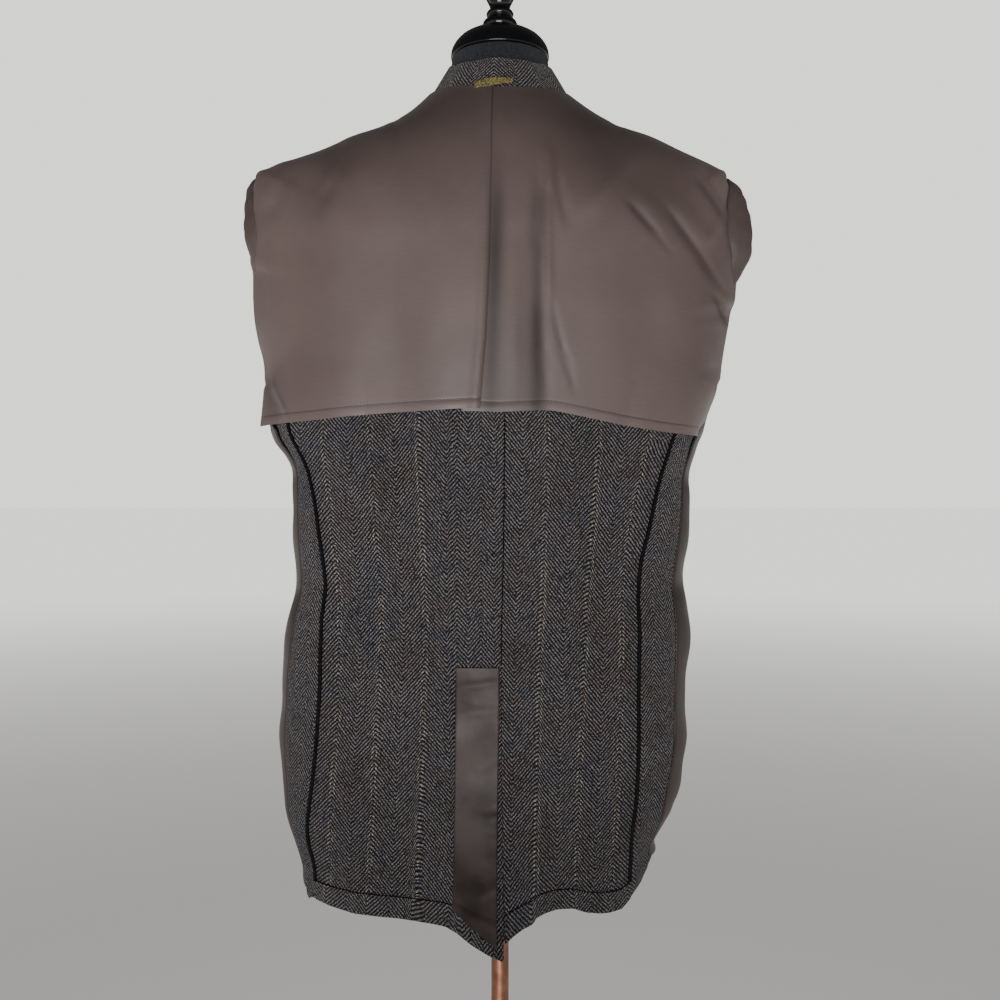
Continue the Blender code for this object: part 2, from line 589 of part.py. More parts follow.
def add_back_linings(grids, paint):
    """The half lining: the left piece's pleat lies over the right piece, and its hem hangs free."""
    for side, hand in (("left", -1), ("right", 1)):
        angle, level = grids[hand]
        first = len(BODY_LEVELS) + 1
        arm_angle, arm_level = armhole(hand, np.linspace(180.0, 180.0 + ARM_SEAM, 7))
        upper_angle, upper_level = angle[first:].copy(), level[first:].copy()
        count = BACK_COLUMNS - STRIP_COLUMN
        arm_edge = np.interp(upper_level[0, 0], arm_level, arm_angle)
        upper_angle[0, STRIP_COLUMN:] = np.linspace(upper_angle[0, STRIP_COLUMN], arm_edge, count + 1)
        low_level = arm_level[0] - 0.002
        shares = np.linspace(0.0, 1.0, BACK_COLUMNS + 1)
        hem_level = LINING_HEM - LINING_CORNER[hand] * shares**1.3
        low = upper_angle[0].copy()
        low[STRIP_COLUMN:] = np.linspace(low[STRIP_COLUMN], hand * LINING_EDGE, count + 1)
        upper_level[-1] -= 0.002
        angle_all = np.vstack([low, low, upper_angle])
        level_all = np.vstack([hem_level, np.full(BACK_COLUMNS + 1, low_level), upper_level])
        reach = smooth((shares - 0.55) / 0.45)
        flare = LINING_FLARE[hand]
        lift = np.full(angle_all.shape, GAP)
        lift[0] += 0.0006 + flare * reach
        lift[1] += 0.0006 + 0.25 * flare * reach
        lift[:2, STRIP_COLUMN - 3:] = np.maximum(lift[:2, STRIP_COLUMN - 3:], GAP + CLOTH + 3.0 * LAYER)
        lift[2] += 0.0060 * reach
        lift[3] += 0.0030 * reach
        lift[4] += 0.0010 * reach
        pleat = read_line(PLEAT_LINE, level_all[:, 0])
        if hand < 0:
            angle_all[:, 0] = angle_at(pleat, level_all[:, 0])
        else:
            under = angle_at(np.full(len(pleat), PLEAT_UNDERLAY), level_all[:, 0])
            between = angle_at(np.full(len(pleat), PLEAT_UNDERLAY / 3.0), level_all[:, 0])
            angle_all = np.column_stack([under, between, angle_all])
            level_all = np.column_stack([level_all[:, 0], level_all[:, 0], level_all])
            lift = np.column_stack([lift[:, 0], lift[:, 0], lift])
        across = coat_base(angle_all, level_all)[..., 0]
        over = smooth((1.35 - level_all) / 0.04) * (ALLOWANCE_THICK + LAYER)
        if hand < 0:
            near = smooth((across + 0.062) / 0.018)
            lift = lift + (LINING + 2.5 * LAYER + over) * near
        else:
            near = 1.0 - smooth((across - 0.006) / 0.020)
            lift = lift + (LAYER + over) * near
        panel("back_lining_" + side, angle_all, level_all, lift, lift + LINING, hand > 0, paint["satin"])


def sleeve_ring(hand, top, low, deep_top, deep_low, half, turns):
    """One ring of a sleeve inside the coat, by heights, depths behind the coat's surface and half width."""
    turns = np.radians(turns)
    y = half * np.sin(turns) + forward(turns)
    z = (top + low) / 2.0 + (top - low) / 2.0 * np.cos(turns)
    square = np.sign(np.cos(turns)) * np.abs(np.cos(turns)) ** 0.6
    deep = (deep_top + deep_low) / 2.0 + (deep_top - deep_low) / 2.0 * square
    angle, level = on_coat(y, z, hand)
    return coat_base(angle, level) - coat_normal(angle, level) * deep[:, None]


def tube_inner(rings, thickness):
    """A tube's inner face: every point moved in along the tube's own direction out."""
    around = np.roll(rings, -1, axis=1) - np.roll(rings, 1, axis=1)
    along = np.gradient(rings, axis=0)
    out = np.cross(around, along)
    out /= np.linalg.norm(out, axis=-1, keepdims=True)
    centre = rings.mean(axis=1, keepdims=True)
    sign = np.sign(((rings - centre) * out).sum(axis=-1).mean())
    return rings - sign * out * thickness


def roll_reach(hand, turns):
    """How far the lining rolls out at each turn of the armhole."""
    away = np.abs((turns + 180.0) % 360.0 - 180.0)
    table = np.array(ROLL_REACH)
    return np.interp(away, table[:, 0], table[:, 1 if hand < 0 else 2])


def add_sleeves(paint):
    """Sleeves hanging inside the coat, and their linings with the roll at the armhole."""
    middle, half_high = (ARM_TOP + ARM_LOW) / 2.0, (ARM_TOP - ARM_LOW) / 2.0
    for side, hand in (("left", -1), ("right", 1)):
        turns = hand * np.arange(SLEEVE_SIDES) * 360.0 / SLEEVE_SIDES
        mouth = sleeve_ring(hand, ARM_TOP, ARM_LOW, SLEEVE_MOUTH, SLEEVE_MOUTH, ARM_HALF, turns)
        rings = np.array([mouth] + [sleeve_ring(hand, *row, turns) for row in SLEEVE_RINGS])
        wall("sleeve_" + side, rings, tube_inner(rings, CLOTH), paint["cloth"], closed=True)
        reach = roll_reach(hand, turns)
        roll = []
        for size, share in ROLL_RINGS:
            high = half_high * size
            ring = sleeve_ring(hand, middle + high, middle - high, 0.0, 0.0, ARM_HALF * size, turns)
            roll.append(ring + np.array([hand, 0.0, 0.0]) * (reach * share)[:, None])
        across, along = LINING_INSET
        for top, low, deep_top, deep_low, half in (THROAT, *SLEEVE_RINGS[1:]):
            roll.append(sleeve_ring(hand, top, low, deep_top - across, deep_low + across, half - along, turns))
        rings = np.array(roll)
        rings[-1] += (rings[-2] - rings[-1]) * CUFF_DEPTH
        wall("sleeve_lining_" + side, rings, tube_inner(rings, LINING), paint["satin"], closed=True)


def add_collar(paint):
    """The collar: a stand round the neck seam, folded over so that its fall goes down inside."""
    reach = COLLAR_LINE[-1][0]
    turns = np.linspace(-reach, reach, COLLAR_STATIONS)
    line = np.array(COLLAR_LINE)
    rise = np.interp(np.abs(turns), line[:, 0], line[:, 1])
    lean = np.interp(np.abs(turns), line[:, 0], line[:, 2])
    foot = coat_base(turns, np.full(len(turns), NECK))
    foot[:, 2] += GAP
    around = coat_base(turns + 1.0, NECK) - coat_base(turns - 1.0, NECK)
    inward = np.stack([-around[:, 1], around[:, 0], np.zeros(len(turns))], axis=1)
    inward /= np.linalg.norm(inward, axis=1, keepdims=True)
    height = np.hypot(rise, lean)
    up = (inward * lean[:, None] + np.array([0.0, 0.0, 1.0]) * rise[:, None]) / height[:, None]
    through = (inward * rise[:, None] - np.array([0.0, 0.0, 1.0]) * lean[:, None]) / height[:, None]
    fold = COLLAR_THICK / 2.0
    bends = np.radians((0, 45, 90, 135, 180))
    section = []
    for h in height:
        bend = [(fold - fold * math.cos(a), h - fold + fold * math.sin(a)) for a in bends]
        end = min(FALL_END, 0.6 * h)
        section.append([(0.0, 0.0), *bend, (COLLAR_THICK, end), (COLLAR_THICK - COLLAR_WALL, end),
                        (COLLAR_THICK - COLLAR_WALL, h - fold), (COLLAR_WALL, h - fold), (COLLAR_WALL, 0.0)])
    section = np.array(section)
    points = (foot[:, None] + through[:, None] * section[..., :1] + up[:, None] * section[..., 1:])
    rows, columns = points.shape[:2]
    faces = list(triangles(rows, columns, True))
    faces += [tuple(range(columns)), tuple(range((rows - 1) * columns, rows * columns))]
    solid("collar", points.reshape(-1, 3), faces, paint["cloth"])


def add_hanger_loop(paint):
    """The woven loop at the neck seam, bowed out between its ends."""
    across = np.linspace(HANGER_LEFT, HANGER_RIGHT, 9)
    share = np.linspace(0.0, 1.0, 9)
    level = np.full(9, NECK - 0.001)
    base = coat_base(angle_at(across, level), level)
    bow = HANGER_BOW * np.sin(math.pi * share)
    back = base[:, 1] - 0.0052 - bow
    middle = HANGER_HEIGHTS[0] + (HANGER_HEIGHTS[1] - HANGER_HEIGHTS[0]) * share
    outer = np.stack([np.stack([across, back - HANGER_THICK, middle + s * HANGER_WIDTH / 2.0], axis=1)
                      for s in (-1, 1)])
    inner = np.stack([np.stack([across, back, middle + s * HANGER_WIDTH / 2.0], axis=1) for s in (-1, 1)])
    wall("hanger_loop", outer, inner, paint["gold"])


def add_buttons(paint):
    """The front buttons, on the hidden face of one front."""
    hand = -1
    for name, level in BUTTON_LEVELS.items():
        edge = front_edge(hand, level)
        angle = shifted(edge, level, -hand * BUTTON_INSET)
        out = coat_normal(angle, level)
        centre = coat_base(angle, level) - out * (CLOTH + LAYER)
        side = np.cross(out, (0.0, 0.0, 1.0))
        side /= np.linalg.norm(side)
        up = np.cross(side, out)
        turns = np.linspace(0.0, 2.0 * math.pi, 24, endpoint=False)
        rings = []
        for size, deep in ((0.86, 0.0), (1.0, 0.18), (1.0, 0.8), (0.90, 1.0), (0.78, 0.86)):
            circle = np.cos(turns)[:, None] * side + np.sin(turns)[:, None] * up
            rings.append(centre + circle * BUTTON_RADIUS * size - out * BUTTON_THICK * deep)
        faces = list(triangles(len(rings), 24, True))
        faces += [tuple(range(24)), tuple(range((len(rings) - 1) * 24, len(rings) * 24))]
        solid(name, np.concatenate(rings), faces, paint["button"])


def add_form(paint):
    """The dress form's body: its shoulders follow the coat from inside, and the rest is its own."""
    even = np.linspace(0.0, 1.0, FORM_COLUMNS // 4 + 1)

    def quarters(point):
        """Angles at even arcs between the four quarter points of one loop."""
        found = []
        for k in range(4):
            fine = np.linspace(-180.0 + 90.0 * k, -90.0 + 90.0 * k, 181)
            run = np.concatenate([[0.0], np.cumsum(np.linalg.norm(np.diff(point(fine), axis=0), axis=1))])
            found.append(np.interp(even[:-1] * run[-1], run, fine))
        return np.concatenate(found)

    def own_ring(row):
        """One of the form's own rings."""
        behind, side, front, half, deep_back, deep_front, square = row

        def own(angle):
            """A place on the ring."""
            return loop_point(angle, behind, side, front, half, half, deep_back, deep_front, square)
        return own(quarters(own))

    def shoulder_ring(level):
        """The coat's loop, moved in until it lies under the cloth."""
        side, front, left, right, deep_back, deep_front = read_table(COAT_LOOPS, level)
        half = min(left, right)

        def loop(angle):
            """A place on the loop."""
            return loop_point(angle, level, side, front, half, half, deep_back, deep_front, SQUARENESS)
        angle = quarters(loop)
        away = FORM_REST + (FORM_CLEAR_FRONT - FORM_REST) * smooth((np.abs(angle) - 88.0) / 25.0)
        return loop(angle) - coat_normal(angle, np.full(len(angle), level)) * (CLOTH + away)[:, None]

    rings = [own_ring(row) for row in FORM_BODY[::-1]]
    rings += [shoulder_ring(level) for level in (*SHOULDER_LEVELS[1:], NECK - GAP)]
    rings += [own_ring(row) for row in FORM_NECK[::-1]]
    count = FORM_COLUMNS
    faces = list(triangles(len(rings), count, True))
    faces += [tuple(range(count)), tuple(range((len(rings) - 1) * count, len(rings) * count))]
    solid("form_torso", np.concatenate(rings), faces, paint["jersey"])


def turned(name, profile, paint):
    """A turned piece from its radii and heights, flat at both ends."""
    turns = np.linspace(0.0, 2.0 * math.pi, TURNED_SIDES, endpoint=False)
    circle = np.stack([np.cos(turns), np.sin(turns), 0.0 * turns], axis=1)
    rings = [radius * circle + np.array([0.0, 0.0, height]) for radius, height in profile]
    faces = list(triangles(len(rings), TURNED_SIDES, True))
    last = (len(rings) - 1) * TURNED_SIDES
    faces += [tuple(range(TURNED_SIDES)), tuple(range(last, last + TURNED_SIDES))]
    solid(name, np.concatenate(rings), faces, paint)


def add_stand(paint):
    """Neck cap, finial, flange, pole and base."""
    turned("neck_cap", NECK_CAP, paint["gloss"])
    turned("finial", FINIAL, paint["finial"])
    turned("pole_flange", FLANGE, paint["flange"])
    turned("pole", ((POLE_RADIUS, BASE[-1][1] + GAP), (POLE_RADIUS, FLANGE[0][1] - GAP)), paint["pole"])
    turned("base", BASE, paint["base"])


def main():
    for old in list(bpy.data.objects):
        bpy.data.objects.remove(old)
    paint = {
        "cloth": ((0.055, 0.052, 0.052), 0.9),
        "satin": ((0.130, 0.105, 0.095), 0.45),
        "binding": ((0.006, 0.006, 0.007), 0.6),
        "gold": ((0.150, 0.110, 0.030), 0.7),
        "button": ((0.030, 0.020, 0.015), 0.35),
        "jersey": ((0.030, 0.033, 0.040), 0.95),
        "gloss": ((0.006, 0.006, 0.007), 0.15),
        "finial": ((0.006, 0.006, 0.007), 0.2),
        "flange": ((0.020, 0.020, 0.020), 0.4),
        "pole": ((0.250, 0.110, 0.070), 0.35, 0.8),
        "base": ((0.015, 0.015, 0.015), 0.4),
    }
    grids = add_backs(paint)
    add_centre(grids, paint)
    add_sides_and_fronts(paint)
    add_back_linings(grids, paint)
    add_sleeves(paint)
    add_collar(paint)
    add_hanger_loop(paint)
    add_buttons(paint)
    add_form(paint)
    add_stand(paint)


main()
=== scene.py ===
import math

import bmesh
import bpy
import numpy as np
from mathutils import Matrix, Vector


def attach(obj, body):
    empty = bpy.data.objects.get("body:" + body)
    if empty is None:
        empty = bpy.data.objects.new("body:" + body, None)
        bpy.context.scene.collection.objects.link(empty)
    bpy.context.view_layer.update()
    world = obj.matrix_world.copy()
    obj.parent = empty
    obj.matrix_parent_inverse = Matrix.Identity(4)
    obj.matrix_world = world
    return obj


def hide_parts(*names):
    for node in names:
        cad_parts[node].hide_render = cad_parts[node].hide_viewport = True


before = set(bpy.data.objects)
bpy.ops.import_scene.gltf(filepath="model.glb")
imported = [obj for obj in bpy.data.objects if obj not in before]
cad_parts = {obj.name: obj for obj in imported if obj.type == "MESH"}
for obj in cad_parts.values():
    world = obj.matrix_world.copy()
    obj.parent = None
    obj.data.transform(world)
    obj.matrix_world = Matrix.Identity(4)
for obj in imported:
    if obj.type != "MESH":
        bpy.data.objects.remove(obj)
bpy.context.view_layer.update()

# The camera stands level behind the coat. Creases and edges are placed by the photograph's pixels.
photo = {"size": 1000, "focal": 1100.0, "away": 1.14, "height": 1.10, "sensor": 36.0}
lens = photo["focal"] * photo["sensor"] / photo["size"]
cameraData = bpy.data.cameras.new("camera")
cameraData.lens = lens
cameraData.sensor_width = photo["sensor"]
cameraData.clip_end = 200.0
camera = bpy.data.objects.new("camera", cameraData)
camera.location = (0.0, -photo["away"], photo["height"])
camera.rotation_euler = (math.radians(90.0), 0.0, 0.0)
bpy.context.scene.collection.objects.link(camera)
bpy.context.scene.camera = camera
print("camera", round(lens, 1), "mm")


# ---- the coat's surface, as in the part ----

coatLoops = np.array((
    # level, side height, front height, half left, half right, depth behind, depth in front
    (0.700, 0.700, 0.688, 0.1950, 0.1520, 0.104, 0.118),
    (0.735, 0.735, 0.725, 0.2050, 0.1630, 0.104, 0.119),
    (0.770, 0.770, 0.762, 0.2180, 0.1755, 0.104, 0.119),
    (0.810, 0.810, 0.804, 0.2225, 0.1865, 0.104, 0.118),
    (0.855, 0.855, 0.851, 0.2255, 0.1905, 0.104, 0.117),
    (0.930, 0.930, 0.928, 0.2185, 0.1895, 0.103, 0.114),
    (1.011, 1.011, 1.010, 0.2075, 0.1870, 0.101, 0.111),
    (1.070, 1.070, 1.069, 0.2105, 0.1925, 0.102, 0.113),
    (1.125, 1.127, 1.122, 0.2130, 0.1935, 0.105, 0.117),
    (1.165, 1.172, 1.160, 0.2300, 0.2040, 0.107, 0.121),
    (1.200, 1.216, 1.193, 0.2355, 0.2180, 0.108, 0.124),
    (1.250, 1.287, 1.237, 0.2475, 0.2325, 0.110, 0.127),
    (1.300, 1.361, 1.279, 0.2505, 0.2375, 0.111, 0.128),
    (1.350, 1.4325, 1.322, 0.2450, 0.2280, 0.111, 0.126),
    (1.357, 1.4338, 1.328, 0.2395, 0.2245, 0.111, 0.125),
    (1.385, 1.4405, 1.352, 0.2220, 0.2110, 0.110, 0.122),
    (1.415, 1.4515, 1.378, 0.1870, 0.1870, 0.108, 0.117),
    (1.440, 1.4643, 1.402, 0.1560, 0.1580, 0.104, 0.110),
    (1.462, 1.4716, 1.424, 0.1260, 0.1285, 0.099, 0.101),
    (1.483, 1.4868, 1.444, 0.0950, 0.0980, 0.092, 0.087),
    (1.497, 1.5070, 1.458, 0.0725, 0.0725, 0.085, 0.072),
))
sideLines = np.array((
    # level, then shares of the half width: left seam, right seam, left allowance, right allowance
    (0.700, 0.966, 0.955, 0.930, 0.830),
    (0.735, 0.966, 0.925, 0.905, 0.787),
    (0.775, 0.966, 0.905, 0.874, 0.730),
    (0.805, 0.962, 0.882, 0.845, 0.714),
    (0.850, 0.957, 0.903, 0.805, 0.709),
    (0.905, 0.960, 0.911, 0.800, 0.711),
    (0.990, 0.959, 0.916, 0.832, 0.726),
    (1.040, 0.958, 0.922, 0.838, 0.728),
    (1.080, 0.958, 0.930, 0.858, 0.766),
    (1.135, 0.958, 0.950, 0.902, 0.832),
    (1.165, 0.958, 0.955, 0.910, 0.852),
))
centreLine = ((0.700, 0.0040), (0.850, 0.0015), (0.970, 0.0014), (1.060, 0.0034), (1.180, 0.0047), (1.300, 0.0))
pleatLine = ((1.180, -0.0190), (1.257, -0.0125), (1.330, -0.0096), (1.495, -0.0072))
frontEdgeLine = (
    (0.700, 0.098), (0.722, 0.072), (0.770, 0.050), (0.850, 0.034), (1.000, 0.019), (1.120, 0.013),
    (1.200, 0.022), (1.300, 0.033), (1.400, 0.043), (1.497, 0.0536),
)
coat = {
    "square": 2.3, "hem": 0.700, "neck": 1.497, "chest": 1.165, "tip": 1.350,
    "cloth": 0.0016, "lining": 0.0010, "gap": 0.0003, "seam": 0.0004, "layer": 0.0006,
    "hemFade": 0.100, "cornerRise": 0.011, "kickTop": 0.86, "kickOut": 0.044,
    "kickLeft": 0.085, "kickRight": 0.058,
    "armTop": 1.4325, "armLow": 1.220, "armHalf": 0.061, "armLean": 0.040, "armSeam": 60.0,
    "frontSeam": 108.0, "facing": 0.0435, "underlap": 0.038,
}


def smooth(value):
    # 0 below 0, 1 above 1, and an S between
    value = np.clip(value, 0.0, 1.0)
    return value * value * (3.0 - 2.0 * value)


def evened(values):
    # the mean of each value and the two on either side
    return np.convolve(np.pad(values, 2, mode="edge"), np.ones(5) / 5.0, mode="valid")


def lengths(points, axis):
    # the distances between neighbours along one direction of a grid, or along a line of points
    return np.linalg.norm(np.diff(points, axis=axis), axis=-1)


def runOf(points, axis=0):
    # the distance covered at each point along one direction, from 0
    steps = np.cumsum(lengths(points, axis), axis=axis)
    return np.concatenate([np.zeros_like(np.take(steps, [0], axis=axis)), steps], axis=axis)


def readLine(line, at):
    table = np.array(line, float)
    return np.interp(at, table[:, 0], table[:, 1])


def readTable(table, at):
    # cubic Hermite curve through the table's rows, with slopes from its neighbours
    known, values = table[:, 0], table[:, 1:]
    at = np.clip(np.asarray(at, float), known[0], known[-1])
    slopes = np.gradient(values, known, axis=0)
    k = np.clip(np.searchsorted(known, at, side="right") - 1, 0, len(known) - 2)
    step = (known[k + 1] - known[k])[..., None]
    t = (at - known[k])[..., None] / step
    return ((2 * t**3 - 3 * t**2 + 1) * values[k] + (t**3 - 2 * t**2 + t) * step * slopes[k]
            + (3 * t**2 - 2 * t**3) * values[k + 1] + (t**3 - t**2) * step * slopes[k + 1])


def loopPoint(angle, behind, side, front, left, right, deepBack, deepFront, square):
    # superellipse: x = half * sin^(2/n), y = depth * cos^(2/n), height turning from behind to side to front
    across, along = np.sin(np.radians(angle)), np.cos(np.radians(angle))
    half = np.where(across < 0, left, right)
    deep = np.where(along > 0, -deepBack, deepFront)
    x = half * np.sign(across) * np.abs(across) ** (2.0 / square)
    y = deep * np.abs(along) ** (2.0 / square)
    z = np.where(along > 0, behind, front) * along**2 + side * across**2
    return np.stack(np.broadcast_arrays(x, y, z), axis=-1)


def coatBase(angle, level):
    angle, level = np.broadcast_arrays(np.asarray(angle, float), np.asarray(level, float))
    side, front, left, right, deepBack, deepFront = np.moveaxis(readTable(coatLoops, level), -1, 0)
    return loopPoint(angle, level, side, front, left, right, deepBack, deepFront, coat["square"])


def coatNormal(angle, level):
    # cross product of the steps round the loop and up the body
    low, high = (np.clip(level + step, coat["hem"], coat["neck"]) for step in (-0.001, 0.001))
    across = coatBase(angle + 0.6, level) - coatBase(angle - 0.6, level)
    up = coatBase(angle, high) - coatBase(angle, low)
    out = np.cross(across, up)
    return out / np.linalg.norm(out, axis=-1, keepdims=True)


def toPixels(point):
    # pinhole: 500 + focal * x / distance, 500 - focal * (z - camera height) / distance
    distance = photo["away"] + point[..., 1]
    half = photo["size"] / 2.0
    return (half + photo["focal"] * point[..., 0] / distance,
            half - photo["focal"] * (point[..., 2] - photo["height"]) / distance)


# outlines in the photograph's pixels
outline = {
    "hemLeft": ((314, 897), (330, 905), (354, 913), (377, 916), (399, 918), (430, 923), (445, 926), (457, 933),
                (470, 944), (486, 954), (502, 962), (507, 963)),
    "hemRight": ((504, 945), (515, 935), (523, 929), (533, 924), (536, 918), (545, 913), (557, 909), (573, 908),
                 (586, 912), (600, 913), (610, 912), (622, 908), (630, 898), (641, 882), (648, 864)),
    "sideLeft": ((434, 274), (443, 279), (451, 282), (457, 288), (466, 293.7), (478, 293), (492, 293),
                 (512, 294),
                 (543, 294.5), (574, 297), (586, 298), (598, 295), (610, 290), (622, 288.6), (637, 286),
                 (657, 284), (673, 283), (700, 283), (729, 280.5), (754, 280.5), (773, 283), (795, 284),
                 (816, 286), (823, 291),
                 (838, 295), (855, 301), (869, 304), (886, 310), (897, 314)),
    "sideRight": ((439, 696), (451, 695), (463, 692), (475, 687), (487, 689), (502, 690), (517, 689),
                  (540, 687),
                  (565, 683), (581, 681), (596, 685), (611, 688), (627, 689), (642, 689), (657, 688),
                  (675, 684), (700, 684), (729, 685), (744, 685), (766, 681), (785, 680), (800, 674),
                  (822, 669), (832, 661),
                  (847, 657), (860, 654), (882, 641)),
}


def sideTable(hand):
    # how much wider the coat stands at each level so that its outline meets the photograph's
    levels = np.linspace(0.700, 1.165, 94)
    angle = hand * np.linspace(55.0, 115.0, 121)[None, :]
    point = coatBase(angle, levels[:, None]) + coatNormal(angle, levels[:, None]) * 0.0030
    px, py = toPixels(point)
    best = np.argmax(hand * px, axis=1)
    row = np.arange(len(levels))
    line = np.array(outline["sideLeft" if hand < 0 else "sideRight"])
    wanted = np.interp(py[row, best], line[:, 0], line[:, 1])
    distance = photo["away"] + point[row, best, 1]
    wider = hand * (wanted - px[row, best]) * distance / photo["focal"]
    wider = np.clip(evened(wider), -0.008, 0.008)
    return levels, wider * smooth((levels - 0.715) / 0.02) * smooth((1.165 - levels) / 0.02)


sideTables = {hand: sideTable(hand) for hand in (-1, 1)}


def sideWider(angle, level):
    left = np.interp(level, *sideTables[-1])
    right = np.interp(level, *sideTables[1])
    across = np.sin(np.radians(angle))
    return np.where(across < 0, left, right) * np.abs(across) ** 6


riseTables = {}


def hemShape(point, angle, level, rightSide):
    # the hem's rise and fall, then a lift at the left side, then the vent corners that stand out behind
    moved = point.copy()
    x = point[..., 0]
    if riseTables:
        rise = np.where(rightSide, np.interp(x, *riseTables["right"]), np.interp(x, *riseTables["left"]))
    else:
        rise = np.zeros(x.shape)
    around = np.abs(angle)
    rise = rise * (1.0 - smooth((around - 90.0) / 50.0))
    corner = np.where(x < 0, coat["cornerRise"], 0.0) * smooth((around - 70.0) / 14.0)
    rise = rise + corner * (1.0 - smooth((around - 112.0) / 40.0))
    moved[..., 2] += rise * np.clip((coat["hem"] + coat["hemFade"] - level) / coat["hemFade"], 0.0, 1.0)
    sideways = np.where(x < 0, smooth((x + coat["kickLeft"]) / coat["kickLeft"]),
                        1.0 - smooth(x / coat["kickRight"]))
    height = np.clip((coat["kickTop"] - moved[..., 2]) / (coat["kickTop"] - coat["hem"]), 0.0, 1.2) ** 1.9
    moved[..., 1] -= np.where(around < 90.0, coat["kickOut"] * height * sideways, 0.0)
    return moved


def findRise(side):
    # steps the hem up or down until it projects on the photograph's outline
    rightSide = side == "right"
    x = np.linspace(-0.040, 0.150, 60) if rightSide else np.linspace(-0.194, 0.008, 60)
    line = np.array(outline["hemRight" if rightSide else "hemLeft"], float)
    angle = angleAt(x, np.full(len(x), coat["hem"]))
    base = coatBase(angle, coat["hem"])
    rise = np.zeros(len(x))
    riseTables.update({"left": (x, rise), "right": (x, rise)})
    for _ in range(8):
        point = hemShape(base, angle, coat["hem"], rightSide)
        px, py = toPixels(point)
        wanted = np.interp(px, line[:, 0], line[:, 1])
        rise = rise - 0.8 * (wanted - py) * (photo["away"] + point[:, 1]) / photo["focal"]
        riseTables.update({"left": (x, rise), "right": (x, rise)})
    return x, np.clip(rise, -0.03, 0.06)


def coatAt(angle, level, lift, rightSide):
    angle, level = np.broadcast_arrays(np.asarray(angle, float), np.asarray(level, float))
    lift = np.asarray(lift) + sideWider(angle, level)
    point = coatBase(angle, level) + coatNormal(angle, level) * lift[..., None]
    return hemShape(point, angle, level, rightSide)


def angleOf(share):
    return np.degrees(np.arcsin(np.sign(share) * np.abs(share) ** (coat["square"] / 2.0)))


def angleAt(x, level):
    left, right = np.moveaxis(readTable(coatLoops, level), -1, 0)[2:4]
    return angleOf(np.clip(x / np.where(np.asarray(x) < 0, left, right), -1.0, 1.0))


def shifted(angle, level, distance):
    speed = np.linalg.norm(coatBase(angle + 0.5, level) - coatBase(angle - 0.5, level), axis=-1)
    return angle + distance / speed


def rowAngles(level, start, end, shares):
    # angles at shares of the arc between two angles, one row for each level
    fine = start[:, None] + (end - start)[:, None] * np.linspace(0.0, 1.0, 161)
    run = runOf(coatBase(fine, level[:, None]), axis=1)
    shares = np.broadcast_to(shares, (len(level), np.shape(shares)[-1]))
    return np.array([np.interp(s * r[-1], r, f) for s, r, f in zip(shares, run, fine)])


def onCoat(y, z, hand):
    # the angle and level of the coat's point at a depth and a height, found by stepping the level
    y, z = np.broadcast_arrays(np.asarray(y, float), np.asarray(z, float))
    level = z.copy()
    for _ in range(80):
        deepBack, deepFront = np.moveaxis(readTable(coatLoops, level), -1, 0)[4:6]
        deep = np.where(y < 0, deepBack, deepFront)
        turn = np.clip(np.abs(y) / deep, 0.0, 1.0) ** (coat["square"] / 2.0)
        angle = hand * np.degrees(np.arccos(np.where(y < 0, turn, -turn)))
        level = np.clip(level - 0.6 * (coatBase(angle, level)[..., 2] - z), coat["hem"], coat["neck"])
    return angle, level


def forward(turn):
    return coat["armLean"] * (1.0 - np.cos(turn)) / 2.0


def armhole(hand, turn):
    # an oval in the side view, leaning forward as it goes down
    middle, half = (coat["armTop"] + coat["armLow"]) / 2.0, (coat["armTop"] - coat["armLow"]) / 2.0
    turn = np.radians(turn)
    return onCoat(coat["armHalf"] * np.sin(turn) + forward(turn), middle + half * np.cos(turn), hand)


riseTables.clear()
hemTables = {side: findRise(side) for side in ("left", "right")}
riseTables.update(hemTables)
print("surface ready")


# ---- meshes ----

def meshFrom(name, vertices, quads, uvs, paint, sharp=50.0, caps=()):
    # quads are rows of four corner numbers and caps longer faces; uvs has a pair for each corner in their order
    mesh = bpy.data.meshes.new(name)
    mesh.from_pydata(vertices.tolist(), [], quads.tolist() + [cap.tolist() for cap in caps])
    for layer, values in uvs.items():
        made = mesh.uv_layers.new(name=layer)
        made.data.foreach_set("uv", np.concatenate(values).astype(np.float32).ravel())
    work = bmesh.new()
    work.from_mesh(mesh)
    bmesh.ops.recalc_face_normals(work, faces=work.faces)
    work.to_mesh(mesh)
    work.free()
    mesh.shade_smooth()
    mesh.set_sharp_from_angle(angle=math.radians(sharp))
    mesh.materials.append(paint)
    piece = bpy.data.objects.new(name, mesh)
    bpy.context.scene.collection.objects.link(piece)
    return piece


def widened(values, columns):
    # one more column, a copy of the last, where a map has none for a tube's closing face
    return values if values.shape[1] > columns else np.concatenate([values, values[:, -1:]], axis=1)


